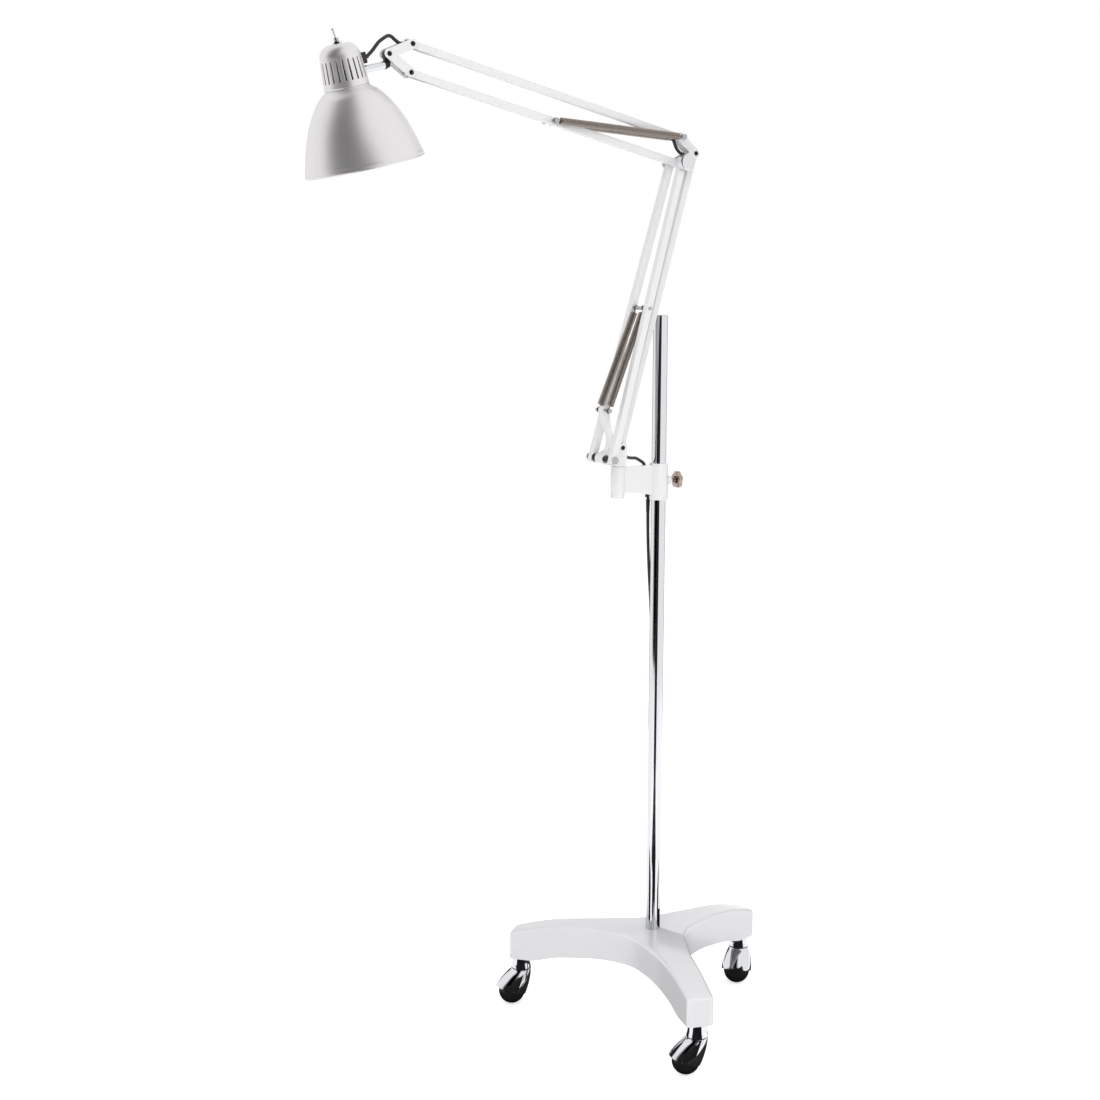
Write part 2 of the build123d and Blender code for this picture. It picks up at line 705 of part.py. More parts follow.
with BuildPart() as upper_bar:
    bar_body(in_arm(elbow), in_arm(head_low), bar_overhang, bar_overhang)
    pin_along_arm_normal(elbow, elbow_bolt_radius + running_fit, -20, 20, Mode.SUBTRACT)
    pin_along_arm_normal(head_low, stud_radius + running_fit, -20, 20, Mode.SUBTRACT)
    pin_along_arm_normal(upper_bolt, spring_bolt_radius, -20, 20, Mode.SUBTRACT)
keep(upper_bar, "upper_bar")

cord_leaves_bar = along(elbow_top, head_top, 12.0)
with BuildPart() as top_bar:
    bar_body(in_arm(elbow_top), in_arm(head_top), bar_overhang, bar_overhang)
    pin_along_arm_normal(elbow_top, stud_radius + running_fit, -20, 20, Mode.SUBTRACT)
    pin_along_arm_normal(head_top, stud_radius + loose_fit, -20, 20, Mode.SUBTRACT)
    # opening in the lower wall for the cord
    with BuildSketch(arm_plane.offset(-bar_size / 2 + bar_wall)):
        with Locations(Location((cord_leaves_bar[0], cord_leaves_bar[1]), -upper_rise)):
            with Locations((0, -bar_size / 2)):
                Rectangle(16, bar_size)
    extrude(amount=bar_size - 2 * bar_wall, mode=Mode.SUBTRACT)
keep(top_bar, "top_bar")

bolt_half = upper_spring_side + spring_hook + 2.0
with BuildPart() as spring_bolt:
    pin_along_arm_normal(upper_bolt, spring_bolt_radius, -bolt_half, bolt_half)
    for side in (-1, 1):
        low, high = sorted((side * bolt_half, side * (bolt_half + 2)))
        pin_along_arm_normal(upper_bolt, spring_bolt_radius + 1.6, low, high)
keep(spring_bolt, "spring_bolt")


# ---------------------------------------------------------------- springs
def spring(start, start_radius, end, end_radius, start_side, end_side):
    """Coil body as a round sleeve on the line between two pins, with a ring and a shank at each end."""
    length = math.dist(start, end)
    turn = math.degrees(math.atan2(end[1] - start[1], end[0] - start[0]))
    ring_gap = 0.4
    start_ring = start_radius + ring_gap
    end_ring = end_radius + ring_gap
    wire = 2 * spring_hook
    first = start_ring + wire + 4.0
    last = length - end_ring - wire - 4.0
    line = Plane(
        origin=in_arm(start, start_side),
        x_dir=arm_plane.x_dir.cross(Vector(0, 0, 1)),
        z_dir=in_arm(end, end_side) - in_arm(start, start_side),
    )
    with BuildSketch(line.offset(first)) as sleeve:
        Circle(spring_radius)
        Circle(spring_bore, mode=Mode.SUBTRACT)
    extrude(sleeve.sketch, amount=last - first)
    # end turns close the sleeve onto the shanks
    for at in (first, last - wire):
        with BuildSketch(line.offset(at)) as end_turn:
            Circle(spring_radius - 0.5)
        extrude(end_turn.sketch, amount=wire)
    for centre, ring, side, low, high in (
        (start, start_ring, start_side, start_ring + 1, first + wire),
        (end, end_ring, end_side, last - wire, length - end_ring - 1),
    ):
        with BuildSketch(arm_plane.offset(side - spring_hook)) as hook:
            with Locations(Location(along(start, end, (low + high) / 2), turn)):
                Rectangle(high - low, wire)
            with Locations(centre):
                Circle(ring + wire)
                Circle(ring, mode=Mode.SUBTRACT)
        extrude(hook.sketch, amount=wire)


with BuildPart() as lower_springs:
    for side in (-1, 1):
        spring(mast_head, anchor_rod_radius, lower_rod, spring_rod_radius,
               side * lower_spring_side, side * lower_spring_side_high)
keep(lower_springs, "lower_springs")

post_radius = 3.0
with BuildPart() as upper_springs:
    for side in (-1, 1):
        spring(upper_bolt, spring_bolt_radius, elbow_top, post_radius,
               side * upper_spring_side, side * upper_spring_side)
keep(upper_springs, "upper_springs")


# ---------------------------------------------------------------- plates of elbow and head
def boomerang(tip_a, apex, tip_b):
    """Plate with two arms of one width that meet at the apex, hollowed between them."""
    for low in (plate_side, -plate_side - plate_thickness):
        with BuildSketch(arm_plane.offset(low)) as shape:
            for tip in (tip_a, tip_b):
                length = math.dist(apex, tip)
                turn = math.degrees(math.atan2(tip[1] - apex[1], tip[0] - apex[0]))
                with Locations(Location(along(apex, tip, length / 2), turn)):
                    SlotCenterToCenter(length, 2 * plate_arm_radius)
        extrude(shape.sketch, amount=plate_thickness)


with BuildPart() as elbow_plates:
    boomerang(elbow_top, link_elbow, elbow)
    pin_along_arm_normal(elbow, elbow_bolt_radius, -20, 20, Mode.SUBTRACT)
    pin_along_arm_normal(elbow_top, stud_radius, -20, 20, Mode.SUBTRACT)
    pin_along_arm_normal(link_elbow, stud_radius, -20, 20, Mode.SUBTRACT)
keep(elbow_plates, "elbow_plates")

arm_outer = lower_half_spread_elbow + bar_size / 2
knob_low = arm_outer + 0.8
with BuildPart() as elbow_bolt:
    pin_along_arm_normal(elbow, elbow_bolt_radius, -knob_low - elbow_nut_thickness, knob_low + 8)
    with BuildSketch(arm_plane.offset(-knob_low - elbow_nut_thickness)):
        with Locations(elbow):
            Circle(elbow_nut_radius)
    extrude(amount=elbow_nut_thickness)
keep(elbow_bolt, "elbow_bolt")

with BuildPart() as elbow_knob:
    with BuildSketch(arm_plane.offset(knob_low)):
        with Locations(elbow):
            Circle(elbow_knob_radius)
    extrude(amount=elbow_knob_thickness)
    fillet(elbow_knob.edges().sort_by(Axis.Y)[0], 4.0)
    fillet(elbow_knob.edges().sort_by(Axis.Y)[-1], 1.0)
    pin_along_arm_normal(elbow, elbow_bolt_radius + running_fit, knob_low, knob_low + 8.2, Mode.SUBTRACT)
keep(elbow_knob, "elbow_knob")

post_end = upper_spring_side + spring_hook + 2.0
with BuildPart() as spring_posts:
    plate_outer = plate_side + plate_thickness
    stud_inner = bar_size / 2 - bar_wall - 0.2
    for side in (-1, 1):
        low, high = sorted((side * stud_inner, side * plate_outer))
        pin_along_arm_normal(elbow_top, stud_radius, low, high)
        low, high = sorted((side * plate_outer, side * post_end))
        pin_along_arm_normal(elbow_top, post_radius, low, high)
        low, high = sorted((side * post_end, side * (post_end + 2)))
        pin_along_arm_normal(elbow_top, post_radius + 1.8, low, high)
keep(spring_posts, "spring_posts")

with BuildPart() as link_elbow_studs:
    stud_pair(link_elbow, plate_side + plate_thickness)
keep(link_elbow_studs, "link_elbow_studs")

with BuildPart() as head_plates:
    boomerang(head_top, tilt_pivot, head_low)
    pin_along_arm_normal(head_low, stud_radius, -20, 20, Mode.SUBTRACT)
    pin_along_arm_normal(head_top, stud_radius, -20, 20, Mode.SUBTRACT)
    pin_along_arm_normal(tilt_pivot, tilt_bolt_radius, -20, 20, Mode.SUBTRACT)
keep(head_plates, "head_plates")

with BuildPart() as bracket_screws:
    stud_pair(head_top, plate_side + plate_thickness)
    for at, radius in ((head_low, stud_radius), (tilt_pivot, tilt_bolt_radius)):
        outer = plate_side + plate_thickness
        pin_along_arm_normal(at, radius, -outer, outer)
        for side in (-1, 1):
            low, high = sorted((side * outer, side * (outer + stud_head)))
            pin_along_arm_normal(at, stud_head_radius, low, high)
keep(bracket_screws, "bracket_screws")

# ---------------------------------------------------------------- head
tilt_local = (tilt_radius_out, tilt_height)
with BuildPart() as knuckle:
    with BuildSketch(rod_plane.offset(rod_outer + face_gap)):
        Circle(rod_radius + 0.5)
    extrude(amount=knuckle_ring)
    with BuildSketch(rod_plane.offset(rod_outer - knuckle_stub)):
        Circle(knuckle_stub_radius)
    extrude(amount=knuckle_stub + face_gap)
    with BuildSketch(head_plane.offset(-tongue_half_width)):
        with BuildLine():
            ring_end = rod_outer + face_gap + knuckle_ring
            eye_near = add2(tilt_local, (-tongue_radius, 0))
            eye_far = add2(tilt_local, (tongue_radius, 0))
            ThreePointArc(eye_near, add2(tilt_local, (0, tongue_radius)), eye_far)
            Polyline(eye_far, (ring_end + 4, rod_height - 5), (ring_end - 2, rod_height - 5),
                     (ring_end - 2, rod_height + 5), eye_near)
        make_face()
    extrude(amount=2 * tongue_half_width)
    pin_along_arm_normal(tilt_pivot, tilt_bolt_radius + running_fit, -20, 20, Mode.SUBTRACT)
keep(knuckle, "knuckle")


def cap_radius(height):
    """Outer radius of the cap's tapered wall."""
    share = (height - shade_height) / (cap_shoulder_height - shade_height)
    return cap_base_radius + (cap_top_radius - cap_base_radius) * share


with BuildPart() as head_rod:
    with BuildSketch(rod_plane.offset(rod_inner)):
        Circle(rod_radius)
        Circle(knuckle_stub_radius + running_fit, mode=Mode.SUBTRACT)
    extrude(amount=rod_outer - rod_inner)
    with BuildSketch(rod_plane.offset(cap_radius(rod_height) - cap_wall - 5.0)):
        RegularPolygon(rod_radius + 3, 6)
        Circle(rod_radius, mode=Mode.SUBTRACT)
    extrude(amount=3)
keep(head_rod, "head_rod")

with BuildPart() as shade_bell:
    with BuildSketch(head_plane):
        with BuildLine():
            outer_low = (rim_radius, 3.0)
            outer_top = (shoulder_radius, shade_height)
            ThreePointArc(outer_low, bell_middle, outer_top)
            Line(outer_top, (holder_radius + 0.5, shade_height))
            Line((holder_radius + 0.5, shade_height), (holder_radius + 0.5, shade_height - shade_wall))
            Line((holder_radius + 0.5, shade_height - shade_wall),
                 (shoulder_radius - 0.6, shade_height - shade_wall))
            ThreePointArc((shoulder_radius - 0.6, shade_height - shade_wall),
                          add2(bell_middle, (-shade_wall, -shade_wall / 2)), (rim_radius - shade_wall, 3.0))
            Line((rim_radius - shade_wall, 3.0), (rim_radius - shade_wall, 0))
            Line((rim_radius - shade_wall, 0), (rim_radius + 0.6, 0))
            Line((rim_radius + 0.6, 0), (rim_radius + 0.6, 2.4))
            Line((rim_radius + 0.6, 2.4), outer_low)
        make_face()
    revolve(axis=head_axis)
keep(shade_bell, "shade_bell")

with BuildPart() as socket_cap:
    with BuildSketch(head_plane):
        with BuildLine():
            dome_centre = (cap_top_radius - cap_dome_radius, cap_shoulder_height)
            inner_dome = cap_dome_radius - cap_wall
            Line((cap_base_radius, shade_height), (cap_top_radius, cap_shoulder_height))
            ThreePointArc((cap_top_radius, cap_shoulder_height), add2(dome_centre, polar(cap_dome_radius, 45)),
                          (dome_centre[0], cap_top))
            Polyline((dome_centre[0], cap_top), (toggle_thread_radius, cap_top),
                     (toggle_thread_radius, cap_top - cap_wall), (dome_centre[0], cap_top - cap_wall))
            ThreePointArc((dome_centre[0], cap_top - cap_wall), add2(dome_centre, polar(inner_dome, 45)),
                          (cap_top_radius - cap_wall, cap_shoulder_height))
            Polyline((cap_top_radius - cap_wall, cap_shoulder_height), (cap_base_radius - cap_wall, shade_height),
                     (cap_base_radius, shade_height))
        make_face()
    revolve(axis=head_axis)
    # vents all round, but not where the rod and the gland are fixed
    vent_mid = (vent_bottom + vent_top) / 2
    for index in range(2, vent_count - 1):
        spin = Rotation(0, 0, 360.0 * index / vent_count)
        radial = Vector(1, 0, 0).rotate(Axis.Z, 360.0 * index / vent_count)
        out = head_plane.x_dir * radial.X + head_plane.z_dir * radial.Y
        slot_plane = Plane(origin=head_plane.from_local_coords((0, vent_mid, 0)), x_dir=head_plane.y_dir, z_dir=out)
        with BuildSketch(slot_plane):
            SlotOverall(vent_top - vent_bottom, vent_width)
        extrude(amount=cap_base_radius + 5, mode=Mode.SUBTRACT)
    with BuildSketch(rod_plane):
        Circle(rod_radius)
    extrude(amount=cap_base_radius + 5, mode=Mode.SUBTRACT)
keep(socket_cap, "socket_cap")

with BuildPart() as lamp_holder:
    with BuildSketch(head_plane):
        with BuildLine():
            bore = bulb_neck_radius + 1.0
            Polyline((holder_radius, holder_bottom), (holder_radius, shade_height - shade_wall - 4.2),
                     (holder_radius + 4, shade_height - shade_wall - 4.2),
                     (holder_radius + 4, shade_height - shade_wall), (holder_radius, shade_height - shade_wall),
                     (holder_radius, shade_height + 8), (holder_radius - 3, holder_top), (0, holder_top),
                     (0, shade_height + 10), (bore, shade_height + 10), (bore, holder_bottom),
                     (holder_radius, holder_bottom))
        make_face()
    revolve(axis=head_axis)
keep(lamp_holder, "lamp_holder")

globe_height = bulb_low + bulb_radius
glass_end = holder_bottom + 16.0


def envelope(inset):
    """Half section of the bulb's glass, its wall moved inwards by an inset and its neck left open."""
    radius = bulb_radius - inset
    neck = bulb_neck_radius - inset
    with BuildSketch(head_plane) as section:
        with BuildLine():
            neck_point = (neck, holder_bottom - 1)
            ThreePointArc((0, globe_height - radius), add2((0, globe_height), polar(radius, -45)),
                          (radius, globe_height))
            Spline((radius, globe_height), (22.0 - inset, globe_height + 20), neck_point,
                   tangents=((0, 1), (-0.1, 1)))
            Polyline(neck_point, (neck, glass_end), (0, glass_end), (0, globe_height - radius))
        make_face()
    return section.sketch


with BuildPart() as bulb_glass:
    revolve(envelope(0), axis=head_axis)
    revolve(envelope(bulb_wall), axis=head_axis, mode=Mode.SUBTRACT)
keep(bulb_glass, "bulb_glass")

with BuildPart() as bulb_base:
    with BuildSketch(head_plane):
        with BuildLine():
            base_end = shade_height + 9.0
            Polyline((0, glass_end), (bulb_neck_radius, glass_end), (bulb_neck_radius, base_end - 4),
                     (4, base_end), (0, base_end), close=True)
        make_face()
    revolve(axis=head_axis)
keep(bulb_base, "bulb_base")

with BuildPart() as toggle_switch:
    with BuildSketch(head_plane):
        with BuildLine():
            seat = cap_top - cap_wall
            top = cap_top + toggle_nut_height + toggle_collar_height
            Polyline((0, seat - 20), (toggle_body_radius, seat - 20), (toggle_body_radius, seat),
                     (toggle_thread_radius, seat), (toggle_thread_radius, cap_top),
                     (toggle_thread_radius - 1.6, cap_top), (toggle_thread_radius - 1.6, top),
                     (lever_tip_radius + 0.6, top), (lever_tip_radius + 0.6, top - 5), (0, top - 5), (0, seat - 20))
        make_face()
    revolve(axis=head_axis)
    nut_plane = Plane(origin=head_plane.from_local_coords((0, cap_top, 0)), z_dir=head_plane.y_dir)
    with BuildSketch(nut_plane):
        RegularPolygon(toggle_nut_radius, 6)
        Circle(toggle_thread_radius - 1.6, mode=Mode.SUBTRACT)
    extrude(amount=toggle_nut_height)
keep(toggle_switch, "toggle_switch")

lever_pivot = (0.0, cap_top + toggle_nut_height + toggle_collar_height - 2.4)
lever_plane = Plane(
    origin=head_plane.from_local_coords((lever_pivot[0], lever_pivot[1], 0)),
    x_dir=(0, 1, 0),
    z_dir=head_plane.y_dir.rotate(Axis.Y, -lever_rest),
)
lever_axis = Axis(lever_plane.origin, lever_plane.z_dir)
with BuildPart() as toggle_lever:
    with BuildSketch(lever_plane):
        Circle(lever_radius)
    with BuildSketch(lever_plane.offset(lever_length - 3)):
        Circle(lever_tip_radius)
    loft()
    with Locations(lever_plane.origin):
        Sphere(lever_radius + 0.4)
    with Locations(lever_plane.origin + lever_plane.z_dir * (lever_length - 3)):
        Sphere(lever_tip_radius)
keep(toggle_lever, "toggle_lever")

# gland beside the cap's shoulder: a block clamped on the wall, and a ribbed bush for the lead
gland_height = 157.0
gland_inner = cap_radius(gland_height) - 0.2
with BuildPart() as cord_gland:
    with BuildSketch(Plane(origin=head_plane.from_local_coords((gland_inner, gland_height, 0)),
                           x_dir=(0, 1, 0), z_dir=head_plane.x_dir)):
        RectangleRounded(gland_size[1], gland_size[2], 2)
    extrude(amount=gland_size[0])
    fillet(cord_gland.faces().sort_by(Axis((0, 0, 0), head_plane.x_dir))[-1].edges(), 1.2)
    with BuildSketch(head_plane):
        with BuildLine():
            Polyline((0, rod_height), (cap_radius(rod_height), rod_height), (cap_top_radius, cap_shoulder_height),
                     (cap_top_radius, cap_top), (0, cap_top), close=True)
        make_face()
    revolve(axis=head_axis, mode=Mode.SUBTRACT)
keep(cord_gland, "cord_gland")


# ---------------------------------------------------------------- cord and leads
def cord_run(points):
    """Tube along straight runs joined by arcs, each as large as its two runs allow."""
    vectors = [Vector(*p) for p in points]
    radii = []
    for before, corner, after in zip(vectors, vectors[1:], vectors[2:]):
        turn = (corner - before).get_angle(after - corner)
        run = min((corner - before).length, (after - corner).length)
        radii.append(0.45 * run / math.tan(math.radians(turn / 2)))
    print("radii", [round(r, 1) for r in radii])
    with BuildLine() as path:
        if radii:
            FilletPolyline(*vectors, radius=radii)
        else:
            Line(vectors[0], vectors[1])
    route = path.wires()[0]
    with BuildSketch(Plane(origin=route @ 0, z_dir=route % 0)) as section:
        Circle(cord_radius)
    sweep(section.sketch, path=route)
    print("length", round(route.length, 1), "volume", round(route.length * math.pi * cord_radius ** 2, 1))


def arm_points(points, side=0.0):
    """Points of space from points of the arm's plane."""
    return [tuple(in_arm(p, side)) for p in points]


gland_exit = add2(tilt_pivot, (-33.9, -6.7))
lead_rise = add2(tilt_pivot, (-16.0, 13.6))
lead_middle = add2(tilt_pivot, (-4.5, 23.6))
lead_out_of_bar = along(head_top, elbow_top, upper_length - 26)
with BuildPart() as lead_neck:
    cord_run(arm_points([gland_exit, add2(tilt_pivot, (-27.3, 1.2)), lead_rise, lead_middle]))
keep(lead_neck, "lead_neck")

with BuildPart() as lead_bracket:
    cord_run(arm_points([lead_middle, along(lead_middle, lead_rise, -11.4), add2(tilt_pivot, (14.0, 28.1)),
                         along(head_top, elbow_top, -18), head_top]))
keep(lead_bracket, "lead_bracket")

with BuildPart() as lead_upper:
    cord_run(arm_points([head_top, lead_out_of_bar]))
keep(lead_upper, "lead_upper")

# inside the link's end the lead turns down: there one piece ends on the other's side
with BuildPart() as lead_elbow:
    cord_run(arm_points([lead_out_of_bar, along(head_top, elbow_top, upper_length - 13), add2(elbow, (-1.0, 27.5)),
                         add2(elbow, (10.5, 18.0)), add2(link_elbow, (-1.45 * cord_radius, 0))]))
keep(lead_elbow, "lead_elbow")

with BuildPart() as lead_lower:
    cord_run(arm_points([link_elbow, along(link_foot, link_elbow, 2.5)]))
keep(lead_lower, "lead_lower")

with BuildPart() as lead_foot:
    cord_run([
        in_arm(add2(link_foot, (0.6, -1.0))),
        in_arm((13.0, 1030.0), -0.8),
        in_arm((32.0, 1022.5), -5.5),
        in_arm((52.0, 1018.5), -12.0),
        in_arm((68.5, 1009.5), -18.5),
        in_arm((78.5, 993.0), -22.6),
        (*clip_point, 972.0),
        (*clip_point, cord_exit),
    ])
keep(lead_foot, "lead_foot")

# x across, y away from the column: the side on which the cord goes down and lies
back_plane = Plane(origin=(0, 0, 0), x_dir=(*polar(1, -back_turn), 0), z_dir=(0, 0, 1))
coil_turns_radius = coil_mid_radius + coil_band / 2


def behind(x, y, z):
    """Point of space from a place across and along the cord's way, and a height."""
    return tuple(back_plane.from_local_coords((x, y, z)))


coil_plane = Plane(origin=behind(*coil_along, 0), x_dir=back_plane.x_dir, z_dir=(0, 0, 1))
plug_across = cord_radius - coil_turns_radius
plug_plane = Plane(
    origin=coil_plane.from_local_coords((plug_across, plug_start, plug_size[2] / 2)),
    x_dir=back_plane.x_dir,
    z_dir=back_plane.y_dir,
)
with BuildPart() as cord_coil:
    with BuildSketch(coil_plane):
        Circle(coil_turns_radius)
        Circle(coil_mid_radius - coil_band / 2, mode=Mode.SUBTRACT)
    extrude(amount=coil_band)
    fillet(cord_coil.edges().filter_by(GeomType.CIRCLE), cord_radius - 0.1)
    with BuildSketch(plug_plane.offset(-plug_start)):
        Circle(cord_radius)
    extrude(amount=plug_start - plug_relief)
keep(cord_coil, "cord_coil")

with BuildPart() as mains_cord:
    cord_run([
        (*clip_point, cord_exit),
        (*clip_point, cord_exit - 55.0),
        behind(-14.5, 14.5, 812.0),
        behind(-9.8, 21.5, 738.0),
        behind(-7.6, 25.5, 663.0),
        behind(-5.6, 31.0, 588.0),
        behind(-4.6, 35.0, 513.0),
        behind(-3.0, 41.5, 438.0),
        behind(-2.2, 47.0, 363.0),
        behind(-0.8, 55.5, 289.0),
        behind(-0.2, 65.5, 222.0),
        behind(1.0, 76.0, 163.0),
        behind(1.6, 88.0, 114.0),
        behind(1.2, 106.0, 73.0),
        behind(-0.6, 130.0, 40.0),
        behind(-3.4, 160.0, 19.0),
        behind(-6.4, 189.0, 6.0),
        behind(-9.0, 220.0, cord_radius),
    ])
    add(cord_coil.part, mode=Mode.SUBTRACT)
keep(mains_cord, "mains_cord")

with BuildPart() as mains_plug:
    with BuildSketch(plug_plane):
        RectangleRounded(plug_size[0] * 0.6, plug_size[2] * 0.86, 4)
    with BuildSketch(plug_plane.offset(plug_size[1])):
        RectangleRounded(plug_size[0], plug_size[2], 6)
    loft()
    with BuildSketch(plug_plane):
        Circle(plug_size[2] / 2 - 2)
    with BuildSketch(plug_plane.offset(-plug_relief)):
        Circle(cord_radius + 0.8)
    loft()
keep(mains_plug, "mains_plug")

with BuildPart() as plug_pins:
    with BuildSketch(plug_plane.offset(plug_size[1])):
        with GridLocations(plug_pin_spacing, 1, 2, 1):
            Circle(plug_pin_radius)
    extrude(amount=plug_pin_length)
    for face in plug_pins.faces().sort_by(Axis((0, 0, 0), plug_plane.z_dir))[-2:]:
        fillet(plug_pins.edges().filter_by(GeomType.CIRCLE).sort_by_distance(face.center())[0], 1.0)
keep(plug_pins, "plug_pins")
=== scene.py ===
"""Adjustable arm floor lamp: finishes, turned parts, springs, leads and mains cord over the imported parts."""
import json
import math

import bpy
import bmesh
import numpy as np
from mathutils import Matrix, Vector


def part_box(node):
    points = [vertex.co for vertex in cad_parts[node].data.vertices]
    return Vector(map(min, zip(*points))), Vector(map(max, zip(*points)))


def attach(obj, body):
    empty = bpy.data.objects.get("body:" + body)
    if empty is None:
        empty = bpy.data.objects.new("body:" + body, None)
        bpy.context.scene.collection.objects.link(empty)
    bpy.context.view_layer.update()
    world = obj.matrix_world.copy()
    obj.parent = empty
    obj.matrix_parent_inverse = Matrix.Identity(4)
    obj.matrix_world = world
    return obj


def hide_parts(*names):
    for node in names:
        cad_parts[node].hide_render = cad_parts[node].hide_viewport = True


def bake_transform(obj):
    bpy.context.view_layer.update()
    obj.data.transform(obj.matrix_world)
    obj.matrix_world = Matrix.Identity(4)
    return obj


bl_info = {
    "name": "Spring arm floor lamp",
    "version": (1, 0, 0),
    "blender": (4, 5, 0),
    "location": "3D View > Sidebar > Lamp",
    "description": "Dresses a spring arm floor lamp on a caster base",
    "category": "Object",
}

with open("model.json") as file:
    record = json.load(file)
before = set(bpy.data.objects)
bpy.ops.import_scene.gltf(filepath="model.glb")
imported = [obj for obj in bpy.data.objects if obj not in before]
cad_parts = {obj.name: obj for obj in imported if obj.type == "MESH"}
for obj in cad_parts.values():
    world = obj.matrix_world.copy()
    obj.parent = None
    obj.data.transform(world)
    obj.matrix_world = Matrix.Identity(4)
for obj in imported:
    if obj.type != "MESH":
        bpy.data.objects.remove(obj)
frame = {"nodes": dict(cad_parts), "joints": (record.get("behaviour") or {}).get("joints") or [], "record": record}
nodes = frame["nodes"]
record = frame["record"]
joint_of = {joint["name"]: joint for joint in frame["joints"]}
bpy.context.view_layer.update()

MM = 0.001


# ---------------------------------------------------------------- places taken from the frame
def pivot(name):
    """Rest position of a joint, in metres."""
    return np.array(joint_of[name]["pos_m"], dtype=float)


def middle(node):
    """Centre of a part's box, in metres."""
    low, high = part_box(node)
    return (np.array(low) + np.array(high)) / 2


BASE_PIVOT = pivot("lower_arm_lean")
LINK_FOOT = pivot("lower_link_lean")
ELBOW = pivot("elbow_level")
ELBOW_TOP = pivot("top_bar_lift")
HEAD_LOW = pivot("head_level")
HEAD_TILT = pivot("head_tilt")
ROD_AXIS = np.array(joint_of["head_swivel"]["axis"], dtype=float)
LINK_ELBOW = ELBOW + LINK_FOOT - BASE_PIVOT
HEAD_TOP = HEAD_LOW + ELBOW_TOP - ELBOW
NEAR = np.array([0.0, -1.0, 0.0])
SHADE_UP = np.array([-ROD_AXIS[2], 0.0, ROD_AXIS[0]])
RIM_CENTRE = HEAD_TILT - 78.5 * MM * ROD_AXIS - 155 * MM * SHADE_UP
UP = np.array([0.0, 0.0, 1.0])
CASTERS = ("right", "left", "front")


def in_arm(across, height, side=0.0):
    """Point from millimetres along the arm's plane, measured from the foot's axis, height and side."""
    foot = pivot("foot_swing")
    return np.array([foot[0] + across * MM, foot[1] - side * MM, height * MM])


def cord_exit():
    """Where the leads and the mains cord meet in the clip: the upper end of the mains cord's tube."""
    return np.array([-9.9 * MM, 17.0 * MM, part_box("mains_cord")[1][2]])


# ---------------------------------------------------------------- sizes and colours a user would change
class LampSizes(bpy.types.PropertyGroup):
    """Sizes of the dressed parts, in metres."""
    wire: bpy.props.FloatProperty(
        name="Spring wire", description="Diameter of the springs' wire", default=0.0019, min=0.0005, unit="LENGTH")
    cord: bpy.props.FloatProperty(
        name="Cord", description="Diameter of the leads and the mains cord", default=0.0055, min=0.002, unit="LENGTH")
    cord_length: bpy.props.FloatProperty(
        name="Mains cord", description="Length of the free mains cord", default=2.5, min=1.0, unit="LENGTH")


def colour_setting(name, description, default):
    """Colour that a user may change."""
    return bpy.props.FloatVectorProperty(name=name, description=description, subtype="COLOR", size=3,
                                         default=default, min=0.0, max=1.0)


class LampColours(bpy.types.PropertyGroup):
    """Colours of the finishes."""
    enamel: colour_setting("Arm enamel", "Gloss enamel of the arm and the castings", (0.78, 0.78, 0.79))
    base: colour_setting("Base enamel", "Gloss enamel of the base", (0.74, 0.74, 0.76))
    shade: colour_setting("Shade enamel", "Satin enamel of the shade", (0.72, 0.70, 0.705))
    cord: colour_setting("Cord sheath", "Sheath of the leads and the mains cord", (0.012, 0.012, 0.013))


# ---------------------------------------------------------------- meshes
def add_mesh(name, points, faces, body, slot, finish_name=None, sharp=40.0):
    """Object from points and faces: doubles merged, faces turned outwards, smooth but for edges over an angle.

    Its finish is the one named after its slot unless another is named.
    """
    mesh = bpy.data.meshes.new(name)
    mesh.from_pydata(points.reshape(-1, 3).tolist(), [], faces.tolist() if hasattr(faces, "tolist") else faces)
    work = bmesh.new()
    work.from_mesh(mesh)
    bmesh.ops.remove_doubles(work, verts=work.verts, dist=1e-6)
    bmesh.ops.dissolve_degenerate(work, edges=work.edges, dist=1e-7)
    bmesh.ops.recalc_face_normals(work, faces=work.faces)
    work.to_mesh(mesh)
    work.free()
    mesh.polygons.foreach_set("use_smooth", np.ones(len(mesh.polygons), dtype=bool))
    mesh.set_sharp_from_angle(angle=math.radians(sharp))
    mesh.materials.append(FINISH[finish_name or slot])
    piece = bpy.data.objects.new(name, mesh)
    bpy.context.scene.collection.objects.link(piece)
    if body:
        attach(piece, body)
    return piece


def grid_faces(rows, columns, wrap_rows=False, wrap_columns=False, start=0):
    """Quads of a rows by columns grid of points, joined round in either direction."""
    row = np.arange(rows if wrap_rows else rows - 1)
    column = np.arange(columns if wrap_columns else columns - 1)
    r, c = np.meshgrid(row, column, indexing="ij")
    r2, c2 = (r + 1) % rows, (c + 1) % columns
    corners = np.stack([r * columns + c, r2 * columns + c, r2 * columns + c2, r * columns + c2], axis=-1)
    return corners.reshape(-1, 4) + start


def frame_about(axis, toward=None):
    """Two unit vectors square to an axis, the first as near as can be to a given direction."""
    axis = np.asarray(axis, dtype=float) / np.linalg.norm(axis)
    seed = np.array([1.0, 0.0, 0.0]) if toward is None else np.asarray(toward, dtype=float)
    if abs(axis @ seed) > 0.99 * np.linalg.norm(seed):
        seed = np.array([0.0, 1.0, 0.0])
    first = seed - (seed @ axis) * axis
    first /= np.linalg.norm(first)
    return first, np.cross(axis, first), axis


